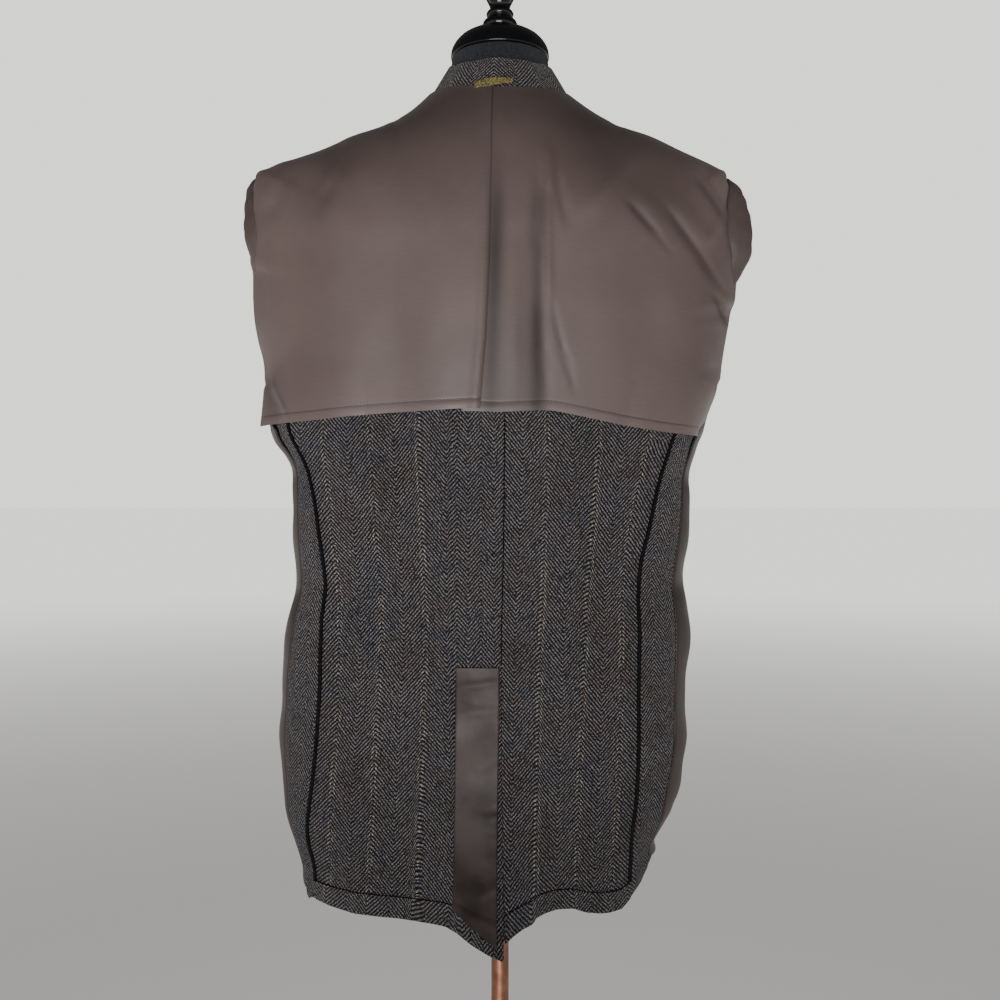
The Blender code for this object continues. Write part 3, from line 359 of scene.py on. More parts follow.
def wall(name, outer, inner, paint, uv=None, extra=None, closed=False, sharp=50.0):
    # two grids of points joined along their rims; a closed one is a tube
    rows, columns = outer.shape[:2]
    count = rows * columns
    span = columns if closed else columns - 1
    r, c = np.meshgrid(np.arange(rows - 1), np.arange(span), indexing="ij")
    r, c = r.ravel(), c.ravel()
    corner = np.stack([[r, c], [r, c + 1], [r + 1, c + 1], [r + 1, c]], axis=0)
    rowOf, columnOf = corner[:, 0].T, corner[:, 1].T
    skin = rowOf * columns + columnOf % columns
    if uv is None:
        run, rise = runOf(outer, axis=1), runOf(outer)
        uv = np.stack([run, rise], axis=-1)
        if closed:
            around = np.linalg.norm(outer[:, 0] - outer[:, -1], axis=1)
            last = np.stack([run[:, -1] + around, rise[:, 0]], axis=-1)
            uv = np.concatenate([uv, last[:, None]], axis=1)
    maps = {"weave": widened(uv, columns)}
    if extra is not None:
        extra = np.stack([extra, np.zeros(extra.shape)], axis=-1)
        maps["extra"] = widened(extra, columns)
    index = np.arange(count).reshape(rows, columns)
    ends = [(index[0], [0] * columns), (index[-1], [rows - 1] * columns)]
    if closed:
        rims = [(np.append(i, i[0]), np.append(k, k[0]), np.arange(columns + 1)) for i, k in ends]
    else:
        ring = np.concatenate([index[0], index[1:, -1], index[-1, -2::-1], index[-2::-1, 0]])
        rims = [(ring, ring // columns, ring % columns)]
    faces = [skin, skin[:, ::-1] + count]
    uvs = {key: [value[rowOf, columnOf].reshape(-1, 2), value[rowOf, columnOf][:, ::-1].reshape(-1, 2)]
           for key, value in maps.items()}
    for ring, rowRing, columnRing in rims:
        a, b = ring[:-1], ring[1:]
        faces.append(np.stack([a, b, b + count, a + count], axis=1))
        for key, value in maps.items():
            at = value[rowRing, columnRing]
            uvs[key].append(np.stack([at[:-1], at[1:], at[1:], at[:-1]], axis=1).reshape(-1, 2))
    points = np.concatenate([outer.reshape(-1, 3), inner.reshape(-1, 3)])
    return meshFrom(name, points, np.concatenate(faces), uvs, paint, sharp)


def gridNormals(grid, closed=False):
    # cross product of the steps along the two grid directions
    if closed:
        across = np.roll(grid, -1, axis=1) - np.roll(grid, 1, axis=1)
    else:
        across = np.gradient(grid, axis=1)
    out = np.cross(across, np.gradient(grid, axis=0))
    return out / np.maximum(np.linalg.norm(out, axis=-1, keepdims=True), 1e-12)


def finish(piece, nodes):
    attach(piece, "root")
    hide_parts(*nodes)
    return piece


leastWidth = 0.012


def cutSheet(grid, closed=False, restsOn=("form_torso",)):
    # the cut is measured along the grid: its widest row and its longest column. A narrower one than
    # leastWidth, as a binding, is stated as that wide. Neither is kept.
    around = np.concatenate([grid, grid[:, :1]], axis=1) if closed else grid
    width, length = lengths(around, 1).sum(axis=1).max(), lengths(around, 0).sum(axis=0).max()
    width, length = max(round(width, 3), leastWidth), round(length, 3)


# ---- shader arithmetic ----

class Wire:
    # wraps a socket; an operator on it adds one Math node
    def __init__(self, tree, socket):
        self.tree = tree
        self.socket = socket

    def make(self, kind, settings=None, inputs=None, output=0):
        return build(self.tree, kind, settings, inputs, output)

    def math(self, operation, *others):
        return self.make("ShaderNodeMath", {"operation": operation}, dict(enumerate((self, *others))))

    def __add__(self, other):
        return self.math("ADD", other)

    def __sub__(self, other):
        return self.math("SUBTRACT", other)

    def __mul__(self, other):
        return self.math("MULTIPLY", other)

    def __truediv__(self, other):
        return self.math("DIVIDE", other)

    def __rsub__(self, other):
        return self.make("ShaderNodeMath", {"operation": "SUBTRACT"}, {0: other, 1: self})

    def __rtruediv__(self, other):
        return self.make("ShaderNodeMath", {"operation": "DIVIDE"}, {0: other, 1: self})

    def __gt__(self, other):
        return self.math("GREATER_THAN", other)

    def __lt__(self, other):
        return self.math("LESS_THAN", other)

    __radd__ = __add__
    __rmul__ = __mul__

    def between(self, low, high, start=0.0, end=1.0):
        # a smooth step from start to end as the value goes from low to high
        return self.make("ShaderNodeMapRange", {"interpolation_type": "SMOOTHSTEP"},
                         {"Value": self, 1: low, 2: high, 3: start, 4: end})

    def part(self, which):
        return self.make("ShaderNodeSeparateXYZ", None, {0: self}, which)


def build(tree, kind, settings=None, inputs=None, output=0):
    # a node of any kind: its settings first, then values or links for its sockets
    node = tree.nodes.new(kind)
    for key, value in (settings or {}).items():
        if key == "stops":
            ramp = node.color_ramp
            while len(ramp.elements) < len(value):
                ramp.elements.new(0.5)
            for element, (position, colour) in zip(ramp.elements, value):
                element.position = position
                element.color = (*colour, 1.0)
        else:
            setattr(node, key, value)
    for key, value in (inputs or {}).items():
        if isinstance(value, Wire):
            tree.links.new(value.socket, node.inputs[key])
        elif isinstance(value, tuple) and len(value) == 3 and len(node.inputs[key].default_value) == 4:
            node.inputs[key].default_value = (*value, 1.0)
        else:
            node.inputs[key].default_value = value
    return Wire(tree, node.outputs[output])


class Paint:
    # one material: its tree, its shader and the calls that patterns use
    def __init__(self, name, roughness, **constants):
        self.material = bpy.data.materials.new(name)
        self.material.use_nodes = True
        self.tree = self.material.node_tree
        self.shader = self.tree.nodes["Principled BSDF"]
        self.shader.inputs["Roughness"].default_value = roughness
        for key, value in constants.items():
            self.shader.inputs[key.replace("_", " ")].default_value = value

    def node(self, kind, settings=None, inputs=None, output=0):
        return build(self.tree, kind, settings, inputs, output)

    def place(self):
        return self.node("ShaderNodeTexCoord", None, None, "Object")

    def uv(self, layer):
        return self.node("ShaderNodeUVMap", {"uv_map": layer})

    def noise(self, scale, detail=2.0, roughness=0.5):
        return self.node("ShaderNodeTexNoise", None, {
            "Vector": self.place(), "Scale": scale, "Detail": detail, "Roughness": roughness})

    def cells(self, scale):
        # random colours in small cells
        return self.node("ShaderNodeTexVoronoi", None, {"Vector": self.place(), "Scale": scale}, "Color")

    def mix(self, factor, a, b):
        return self.node("ShaderNodeMix", {"data_type": "RGBA"}, {0: factor, 6: a, 7: b}, 2)

    def shade(self, colour, factor):
        # a colour made lighter or darker by a number that varies
        grey = self.node("ShaderNodeCombineXYZ", None, {0: factor, 1: factor, 2: factor})
        return self.node("ShaderNodeVectorMath", {"operation": "MULTIPLY"}, {0: colour, 1: grey})

    def set(self, name, value):
        if isinstance(value, Wire):
            self.tree.links.new(value.socket, self.shader.inputs[name])
        else:
            self.shader.inputs[name].default_value = value

    def bump(self, height, distance):
        self.set("Normal", self.node("ShaderNodeBump", None, {
            "Strength": 1.0, "Distance": distance, "Height": height}))
        return self.material


tweedValues = {
    "pitch": 0.0042, "slope": 1.2, "dark": (0.0095, 0.0088, 0.0098), "light": (0.235, 0.212, 0.218),
    "warm": (0.220, 0.184, 0.180), "cool": (0.198, 0.190, 0.214), "stripe": (0.46, 0.42, 0.36),
    "rust": (0.26, 0.19, 0.15),
    "rowApart": 0.0019, "rowWide": 0.0009, "dash": 0.0044, "fleckScale": 260.0,
    # painted shade: between the first two heights the tweed is painted darker towards the hem, down to the third
    # factor
    "paintedShadeLow": 0.68, "paintedShadeHigh": 1.00, "worn": 0.66,
}


def tweedPaint(name, stripes=1.0, tone=1.0, pitch=1.0):
    # twill lines at height + slope * distance from the stripe, each a row of short dashes, light on dark;
    # where they cross the warp ends beside every second column edge they turn cream or rust
    v = tweedValues
    paint = Paint(name, 0.95, Sheen_Weight=0.05, Sheen_Roughness=0.6, Specular_IOR_Level=0.08)
    weave = paint.uv("weave")
    column, up = weave.part(0), weave.part(1)
    width = paint.uv("extra").part(0)
    peak = column.math("PINGPONG", 1.0)
    reach = peak * width
    wobble = (paint.noise(90.0, 2.0) - 0.5) * 0.0014 + (paint.noise(330.0, 1.0) - 0.5) * 0.0020
    line = (up - (width - reach) * v["slope"] + wobble) / (v["pitch"] * pitch)
    jitter = paint.node("ShaderNodeTexWhiteNoise", {"noise_dimensions": "1D"}, {"W": line.math("FLOOR")}, 0)
    dash = ((up - reach * v["slope"]) / v["dash"] + jitter * 7.0).math("FRACT").math("PINGPONG", 0.5)
    fibre = paint.noise(700.0, 2.0, roughness=0.6)
    ridge = line.math("PINGPONG", 0.5).between(0.17, 0.36)
    yarn = ridge * dash.between(0.02, 0.30, 0.36, 1.04) * fibre.between(0.34, 0.60, 0.10, 1.34)
    tint = paint.noise(30.0, 3.0)
    colour = paint.mix(tint.between(0.50, 0.66), v["light"], v["warm"])
    colour = paint.mix(tint.between(0.46, 0.30), colour, v["cool"])
    cell = paint.cells(v["fleckScale"])
    fleckColour = paint.node("ShaderNodeValToRGB", {"stops": (
        (0.0, (0.30, 0.09, 0.05)), (0.35, (0.06, 0.09, 0.24)), (0.6, (0.30, 0.20, 0.06)),
        (0.85, (0.07, 0.15, 0.08)),
    )}, {0: cell.part(1)})
    colour = paint.mix((cell.part(0) > 0.90) * 0.35, colour, fleckColour)
    row = (reach - v["rowApart"]).math("ABSOLUTE").between(v["rowWide"] * 0.3, v["rowWide"] * 1.4, 1.0, 0.0)
    strength = paint.noise(60.0, 3.0).between(0.36, 0.58, 0.15, 1.0)
    mask = row * strength * width.between(0.0135, 0.0175) * stripes
    stripe = paint.mix(paint.noise(70.0, 1.0).between(0.56, 0.62), v["stripe"], v["rust"])
    colour = paint.mix(mask, colour, stripe)
    colour = paint.mix(yarn, v["dark"], colour)
    broad = paint.noise(9.0, 2.0).between(0.3, 0.7, 0.92 * tone, 1.08 * tone)
    # painted shade: the cloth is painted darker towards the hem
    worn = paint.place().part(2).between(v["paintedShadeLow"], v["paintedShadeHigh"], v["worn"], 1.0)
    paint.set("Base Color", paint.shade(colour, broad * worn))
    return paint.bump(yarn + fibre * 0.3, 0.0004)


# hem is how far above the edge the half lining's stitches run
satinValues = {"base": (0.137, 0.099, 0.092), "deep": (0.110, 0.078, 0.071), "slub": (70.0, 1500.0, 1.0),
               "hem": 0.0090}


def satinPaint(name, tone=1.0, stitches=False, gloss=0.42, low=1.0):
    # fine slubs along the weft and slow variation of the colour. With stitches there is a sewn line above the
    # hem, whose groove is painted slightly darker as shade, and the colour is darkened by the first number of
    # its
    # extra map: painted shade in folds that face away from the lamps, beside the pleat and across the shoulders.
    # With low under 1 it is darker lower down, in patches.
    v = satinValues
    paint = Paint(name, 0.46, Sheen_Weight=0.11 * gloss, Sheen_Roughness=0.4, Specular_IOR_Level=gloss)
    weave = paint.uv("weave")
    slub = paint.node("ShaderNodeTexNoise", None, {
        "Vector": paint.node("ShaderNodeVectorMath", {"operation": "MULTIPLY"}, {0: weave, 1: v["slub"]}),
        "Scale": 1.0, "Detail": 2.0})
    colour = paint.mix(paint.noise(7.0, 3.0).between(0.3, 0.7), v["deep"], v["base"])
    factor = slub.between(0.3, 0.7, 0.94 * tone, 1.06 * tone)
    if low < 1.0:
        factor = factor * paint.place().part(2).between(0.74, 0.92, low, 1.0)
        factor = factor * paint.noise(26.0, 3.0).between(0.36, 0.62, 0.62, 1.15)
    height = slub * 0.25 + paint.noise(240.0, 2.0) * 0.5
    if stitches:
        across, up = weave.part(0), weave.part(1)
        line = (up - v["hem"]).math("ABSOLUTE")
        groove = line.between(0.0003, 0.0018, 1.0, 0.0)
        stitch = line.between(0.0003, 0.0007, 1.0, 0.0) * ((across / 0.0031).math("FRACT") < 0.62)
        # painted shade: the groove 8% darker, and darker by the extra map's first number in folds
        factor = factor * (1.0 - groove * 0.08) * (1.0 - stitch * 0.50) * (1.0 - paint.uv("extra").part(0))
        height = height - groove * 1.2 + stitch * 0.8
    paint.set("Base Color", paint.shade(colour, factor))
    paint.set("Roughness", paint.noise(22.0, 2.0).between(0.3, 0.7, 0.42, 0.52))
    return paint.bump(height, 0.00012)


def plainPaint(name, colour, roughness, grain=60.0, vary=0.08, distance=0.00004, **constants):
    # one finish with fine unevenness in its colour, roughness and surface
    paint = Paint(name, roughness, **constants)
    speck = paint.noise(grain, 4.0)
    low, high = tuple(c * (1.0 - vary) for c in colour), tuple(min(c * (1.0 + vary), 1.0) for c in colour)
    paint.set("Base Color", paint.mix(speck.between(0.3, 0.7), low, high))
    wear = paint.noise(grain * 0.35, 3.0).between(0.35, 0.75, roughness * 0.85, min(roughness * 1.2, 1.0))
    paint.set("Roughness", wear)
    return paint.bump(speck, distance)


def knitPaint(name):
    # jersey: small stitches in staggered rows on the piece's own map, in metres
    paint = Paint(name, 0.95, Sheen_Weight=0.04, Sheen_Roughness=0.7, Specular_IOR_Level=0.08)
    weave = paint.uv("weave")
    across, up = weave.part(0), weave.part(1)
    row = (up / 0.0011).math("FLOOR")
    loop = (across / 0.0014 + row * 0.5).math("PINGPONG", 0.5) * 2.0
    rib = (up / 0.0011).math("FRACT").math("PINGPONG", 0.5) * 2.0
    stitch = loop * rib
    fuzz = paint.noise(420.0, 3.0)
    dark, light = (0.016, 0.017, 0.020), (0.066, 0.069, 0.076)
    paint.set("Base Color", paint.mix(stitch * fuzz.between(0.3, 0.7), dark, light))
    return paint.bump(stitch + fuzz * 0.4, 0.0003)


def braidPaint(name):
    # diagonal braid of gold, olive and dark flecks
    paint = Paint(name, 0.75, Sheen_Weight=0.1)
    weave = paint.uv("weave")
    across, up = weave.part(0), weave.part(1)
    diagonal = (across / 0.0019 + (up / 0.0015).math("PINGPONG", 1.0)).math("FRACT").math("PINGPONG", 0.5) * 2.0
    cell = paint.cells(900.0)
    gold = paint.node("ShaderNodeValToRGB", {"stops": (
        (0.0, (0.035, 0.026, 0.010)), (0.35, (0.17, 0.135, 0.030)), (0.65, (0.46, 0.36, 0.10)),
        (1.0, (0.12, 0.12, 0.04)),
    )}, {0: cell.part(0)})
    paint.set("Base Color", paint.mix(diagonal.between(0.2, 0.6), (0.05, 0.036, 0.012), gold))
    return paint.bump(diagonal + cell.part(1) * 0.5, 0.0005)


tweed = tweedPaint("tweed", tone=0.86)
tweedSide = tweedPaint("tweedUnderside", stripes=0.7, tone=0.87)
tweedCollar = tweedPaint("tweedCollar", stripes=0.6, tone=1.16, pitch=1.20)
satin = satinPaint("satinLining", stitches=True)
satinPlain = satinPaint("satinPlain", tone=0.66)
satinFacing = satinPaint("satinFacing", tone=0.42, gloss=0.16, low=0.62)
satinFront = satinPaint("satinFront", tone=0.30, gloss=0.22)
jersey = knitPaint("jersey")
bindingPaint = plainPaint("biasBinding", (0.0035, 0.0035, 0.0045), 0.80, grain=700.0, vary=0.4, distance=0.0003,
                          Specular_IOR_Level=0.12)
lacquer = plainPaint("blackLacquer", (0.0045, 0.0045, 0.0050), 0.16, Specular_IOR_Level=0.36)
copper = plainPaint("copperPole", (0.30, 0.135, 0.085), 0.34, grain=90.0, vary=0.2, Metallic=0.85)
blackMetal = plainPaint("blackMetal", (0.013, 0.013, 0.014), 0.42, grain=300.0, vary=0.2, distance=0.0001,
                        Metallic=0.2)
horn = plainPaint("horn", (0.035, 0.022, 0.015), 0.28, grain=120.0, vary=0.5)
braid = braidPaint("flecked")
print("materials ready")


# ---- creases: where the photograph shows them, and their like on the sides that it hides ----

# depth in millimetres (a ridge is above 0), half width in pixels, then the line's pixels
liningCreases = (
    (-1.6, 7, 352, 136, 340, 150, 327, 172, 314, 200), (-1.8, 6, 362, 142, 346, 162, 333, 186, 312, 222),
    (1.8, 8, 358, 138, 345, 156, 322, 198), (-2.2, 8, 306, 158, 294, 174, 280, 198, 262, 232),
    (1.0, 9, 294, 160, 286, 172, 264, 212), (0.8, 6, 269, 226, 271, 270, 272, 300, 270, 350),
    (-0.8, 6, 278, 226, 281, 290, 278, 360), (-1.4, 3.5, 266, 362, 274, 384, 282, 402, 292, 424),
    (1.2, 6, 276, 362, 286, 388, 300, 424), (-1.3, 4, 395, 112, 397, 124, 400, 142),
    (2.2, 6, 546, 140, 549, 165, 550, 200), (-1.7, 6, 542, 160, 538, 200, 536, 226, 533, 262),
    (1.3, 4, 549, 176, 548, 240, 549, 320), (-2.0, 5, 557, 168, 560, 190, 568, 232),
    (2.0, 10, 652, 136, 628, 164, 600, 196, 574, 226), (-1.6, 4, 610, 118, 617, 132, 625, 152),
    (-1.3, 3.2, 618, 192, 632, 208, 652, 230, 676, 262), (1.2, 8, 632, 190, 648, 208, 670, 238),
    (-1.7, 3.2, 650, 190, 668, 213, 684, 234, 700, 256, 714, 280, 727, 303),
    (1.9, 9, 664, 190, 684, 216, 700, 238, 714, 262), (-1.5, 3, 708, 288, 716, 302, 724, 318, 730, 334),
    (-1.4, 3, 686, 168, 700, 186, 714, 206, 730, 230), (-1.6, 4, 698, 164, 710, 184, 724, 210),
    (1.4, 6, 700, 250, 712, 230, 722, 214), (-1.0, 3, 550, 288, 558, 330, 566, 362, 578, 406),
    (-1.0, 2.4, 684, 368, 700, 370, 722, 370), (-1.3, 6, 543, 215, 541, 270, 542, 330, 545, 380, 546, 440),
    (1.0, 9, 512, 130, 513, 230, 514, 330, 514, 440), (0.8, 26, 424, 160, 430, 260, 438, 360, 442, 440),
    (-0.8, 24, 376, 170, 384, 260, 390, 360, 396, 440), (0.8, 26, 330, 200, 338, 290, 344, 360, 348, 450),
    (0.8, 24, 600, 240, 608, 320, 614, 380, 618, 450), (-0.9, 20, 640, 250, 650, 320, 656, 380, 660, 450),
    (1.0, 20, 668, 260, 678, 320, 684, 380, 688, 450),
)
bodyCreases = (
    (-1.2, 16, 350, 440, 352, 560, 350, 700, 350, 860), (1.3, 20, 395, 440, 398, 600, 400, 760, 405, 880),
    (-1.0, 14, 440, 470, 444, 600, 446, 760), (1.2, 20, 570, 450, 566, 600, 562, 760, 560, 890),
    (-1.2, 16, 610, 460, 602, 600, 598, 760, 595, 890), (-1.3, 9, 300, 560, 330, 590, 380, 604),
    (-1.2, 9, 690, 575, 655, 598, 610, 610), (1.0, 10, 305, 610, 345, 630, 380, 640),
    (1.0, 10, 688, 620, 650, 636, 600, 642),
)


def creaseLift(point, angle, table):
    # each crease adds depth * exp(-(distance / width)^2), less towards its ends; only the side seen has them
    px, py = toPixels(point)
    total = np.zeros(px.shape)
    for depth, wide, *line in table:
        line = np.array(line, float).reshape(-1, 2)
        steps = np.linalg.norm(np.diff(line, axis=0), axis=1)
        run = np.concatenate([[0.0], np.cumsum(steps)]) / steps.sum()
        best = np.full(px.shape, 1e9)
        share = np.zeros(px.shape)
        for a, b, low, high in zip(line[:-1], line[1:], run[:-1], run[1:]):
            along = b - a
            t = np.clip(((px - a[0]) * along[0] + (py - a[1]) * along[1]) / (along @ along), 0.0, 1.0)
            away = np.hypot(px - a[0] - t * along[0], py - a[1] - t * along[1])
            share = np.where(away < best, low + (high - low) * t, share)
            best = np.minimum(best, away)
        total += depth * 0.001 * np.exp(-((best / wide) ** 2)) * smooth(np.minimum(share, 1.0 - share) / 0.35)
    return total * (1.0 - smooth((np.abs(angle) - 74.0) / 14.0))


def softFolds(angle, level, size):
    # broad folds on the sides that aren't seen: slow waves round the body that lean as they fall
    wave = np.sin(np.radians(angle * 7.0) + 5.0 * level)
    wave = wave + 0.6 * np.sin(np.radians(angle * 11.0) - 9.0 * level + 1.3)
    return size * wave * smooth((np.abs(angle) - 70.0) / 20.0)


def draped(angle, level, rightSide):
    point = coatAt(angle, level, 0.0, rightSide)
    return creaseLift(point, angle, bodyCreases) + softFolds(angle, level, 0.0007)


def liningFold(angle, level, rightSide, shares):
    # the half lining stands a little off the back inside its seams, so its troughs stay above the back
    point = coatAt(angle, level, 0.0, rightSide)
    edge = smooth((1.0 - shares)[None, :] * 0.24 / 0.016) * smooth((coat["neck"] - level) / 0.016)
    stand = (0.0028 - 0.0022 * smooth((level - 1.36) / 0.07)) * edge
    stand = stand + creaseLift(point, angle, liningCreases) * (0.25 + 0.75 * edge)
    return 0.5 * (stand + np.sqrt(stand**2 + 0.0005**2)) + creaseLift(point, angle, bodyCreases)


# ---- where the herringbone's columns run ----

# height in the photograph, then the pixels of the stripes and, nearer the centre, of the narrow columns' edges
columnsLeft = np.array((
    (441, 277, 323, 370, 417, 447, 457, 468, 481, 494, 505),
    (540, 288, 333, 376, 422, 447, 457, 468, 481, 494, 505),
    (600, 297, 340, 381, 425, 447, 457, 468, 481, 494, 505),
    (640, 296, 339, 382, 426, 447, 457, 468, 481, 494, 505),
    (715, 296, 338, 376, 423, 448, 458, 469, 481, 494, 505),
    (788, 290, 332, 373, 419, 451, 461, 471, 482, 494, 505),
    (869, 287, 329, 369, 415, 453, 463, 473, 484, 495, 506),
    (960, 285, 327, 367, 413, 453, 463, 473, 484, 495, 506),
), float)
columnsLeftAt = np.array((-8, -6, -4, -2, -1, 0, 1, 2, 3, 4), float)
columnsRight = np.array((
    (441, 497, 523, 547, 599, 649, 698), (453, 497, 523, 547, 599, 645, 690),
    (528, 495, 520, 545, 594, 630, 668), (565, 493, 518, 544, 591, 624, 660),
    (601, 490, 516, 543, 588, 621, 656), (640, 489, 515, 541, 586, 622, 658),
    (722, 487, 513, 539, 582, 620, 658), (766, 486, 512, 538, 580, 619, 657),
    (825, 485, 511, 537, 578, 616, 654), (883, 484, 510, 536, 577, 611, 648),
    (960, 483, 509, 535, 576, 609, 645),
), float)
columnsRightAt = np.array((0, 1, 2, 4, 6, 8), float)


def columnMap(outer, table, numbers):
    # the column number at each point by its pixels, and the width of the column there in metres
    px, py = toPixels(outer)
    knots = np.stack([np.interp(py, table[:, 0], table[:, k + 1]) for k in range(len(numbers))], axis=-1)
    k = np.clip((px[..., None] > knots).sum(axis=-1) - 1, 0, len(numbers) - 2)
    low, high = (np.take_along_axis(knots, k[..., None] + n, -1)[..., 0] for n in (0, 1))
    step = (numbers[k + 1] - numbers[k]) / (high - low)
    number = numbers[k] + (px - low) * step
    width = (photo["away"] + outer[..., 1]) / (photo["focal"] * step)
    return np.stack([number, outer[..., 2]], axis=-1), np.apply_along_axis(evened, 1, width)


def evenColumns(outer, closed=False, wide=0.0210, start=0.0, skew=0.0):
    # column numbers by the distance along the middle row, the same width everywhere
    if closed:
        outer = np.concatenate([outer, outer[:, :1]], axis=1)
    across, up = runOf(outer, axis=1), runOf(outer)
    up = np.repeat(up[:, up.shape[1] // 2][:, None], outer.shape[1], axis=1)
    number = (across + skew * up) / wide + start
    return np.stack([number, up], axis=-1), np.full(number.shape, wide)


# ---- the grids ----

sideName = {-1: "Left", 1: "Right"}
bodyRows = np.concatenate([coat["hem"] + np.array((0.0, 0.0006, 0.0014, 0.0026, 0.0042)),
                           np.linspace(0.7065, coat["chest"], 92)])


def nodeOf(name, hand):
    return name + ("_left" if hand < 0 else "_right")


def named(name, hand):
    # a piece's name and its node's, as sideLiningLeft and side_lining_left
    return name + sideName[hand], nodeOf("".join("_" + c.lower() if c.isupper() else c for c in name), hand)


def between(level, start, end, shares):
    # the angles and levels of a grid that runs from one edge to another
    return rowAngles(level, start, end, shares), np.repeat(level[:, None], len(shares), axis=1)


def panelRows(meetLevel, edgeLevel):
    # rows of a back or front: below the armhole, up to its seam, round its edge, then up the shoulder
    return np.concatenate([bodyRows, np.linspace(coat["chest"], meetLevel, 8)[1:], edgeLevel[1:],
                           np.linspace(coat["tip"], coat["neck"] - coat["gap"], 32)[1:]])


def seamAngle(hand, level, line):
    # line 0 is the side seam and line 1 the inner edge of its allowance
    return hand * angleOf(readTable(sideLines, level)[..., 2 * line + (0 if hand < 0 else 1)])


def edgeShares(count, pull=0.55):
    # columns closer together towards both edges
    t = np.linspace(0.0, 1.0, count)
    return t * (1.0 - pull) + pull * (0.5 - 0.5 * np.cos(math.pi * t))


def backRows(hand):
    # rows of a back panel, with the angle where each one ends: side seam, armhole, then shoulder seam
    meetAngle, meetLevel = armhole(hand, 180.0 + coat["armSeam"])
    edgeAngle, edgeLevel = armhole(hand, np.linspace(180.0 + coat["armSeam"], 360.0, 46))
    level = panelRows(meetLevel, edgeLevel)
    chestSeam = seamAngle(hand, coat["chest"], 0)
    risen = chestSeam + (meetAngle - chestSeam) * (level - coat["chest"]) / (meetLevel - coat["chest"])
    end = np.where(level <= coat["chest"], seamAngle(hand, level, 0), risen)
    end = np.where(level > meetLevel, np.interp(level, edgeLevel, edgeAngle), end)
    return level, np.where(level > coat["tip"] + 1e-6, hand * 90.0, end)


def backGrid(hand, shares):
    level, end = backRows(hand)
    start = shifted(angleAt(readLine(centreLine, level), level), level, hand * coat["seam"])
    end = shifted(end, level, -hand * coat["seam"])
    return between(level, start, end, shares)


def sideGrid(hand, shares, top=(60.0, -60.0)):
    # a side body up to the armhole's lower arc, whose rows bend from level to the arc
    start = shifted(seamAngle(hand, bodyRows, 0), bodyRows, hand * coat["seam"])
    end = shifted(np.full(len(bodyRows), hand * coat["frontSeam"]), bodyRows, -hand * coat["seam"])
    angle = rowAngles(bodyRows, start, end, shares)
    topAngle, topLevel = armhole(hand, 180.0 + top[0] + (top[1] - top[0]) * shares)
    up = np.linspace(0.0, 1.0, 9)[1:, None]
    level = np.repeat(bodyRows[:, None], len(shares), axis=1)
    return (np.concatenate([angle, angle[-1] * (1.0 - up) + topAngle * up]),
            np.concatenate([level, coat["chest"] * (1.0 - up) + topLevel * up]))


def frontEdge(hand, level):
    half = readTable(coatLoops, level)[..., 2 if hand < 0 else 3]
    return hand * (180.0 - angleOf(readLine(frontEdgeLine, level) / half))


def frontGrid(hand, shares):
    meetAngle, meetLevel = armhole(hand, 180.0 - coat["armSeam"])
    edgeAngle, edgeLevel = armhole(hand, np.linspace(180.0 - coat["armSeam"], 0.0, 46))
    level = panelRows(meetLevel, edgeLevel)
    seam = hand * coat["frontSeam"]
    start = seam + (meetAngle - seam) * np.clip((level - coat["chest"]) / (meetLevel - coat["chest"]), 0.0, 1.0)
    start = np.where(level > meetLevel, np.interp(level, edgeLevel, edgeAngle), start)
    start = np.where(level > coat["tip"] + 1e-6, hand * 90.0, start)
    start = shifted(start, level, hand * coat["seam"])
    return between(level, start, frontEdge(hand, level), shares)


def panel(name, node, grid, low, high, rightSide, paint, slot, uv=None, held="draped", restsOn=("form_torso",)):
    # a wall between two heights over the coat's surface, with the creases of its place
    angle, level = grid
    fold = draped(angle, level, rightSide)
    outer = coatAt(angle, level, np.broadcast_to(high, angle.shape) + fold, rightSide)
    inner = coatAt(angle, level, np.broadcast_to(low, angle.shape) + fold, rightSide)
    uv, width = uv(outer) if uv is not None else (None, None)
    piece = wall(name, outer, inner, paint, uv, width)
    finish(piece, [node])
    cutSheet(outer, restsOn=restsOn)
    return piece


def edgeDrop(shares, length, reach, depth, low=True, high=True):
    # how far a wall's face turns down beside its edges: a quarter round
    near = np.minimum(np.where(low, shares * length, 1.0), np.where(high, (1.0 - shares) * length, 1.0))
    t = np.clip(1.0 - near / reach, 0.0, 1.0)
    return depth * (1.0 - np.sqrt(np.clip(1.0 - t * t, 0.0, 1.0)))


# ---- backs, with what lies on them ----

# the linings and bindings end at liningEnds, above the turned-up hem
backValues = {"columns": 100, "hemHigh": 0.0215, "stripColumns": 20, "bindingWide": 0.0035, "slit": 0.0009,
              "leftHemEnds": -0.0030, "stripEnds": (0.0045, 1.176), "liningEnds": 0.7205}


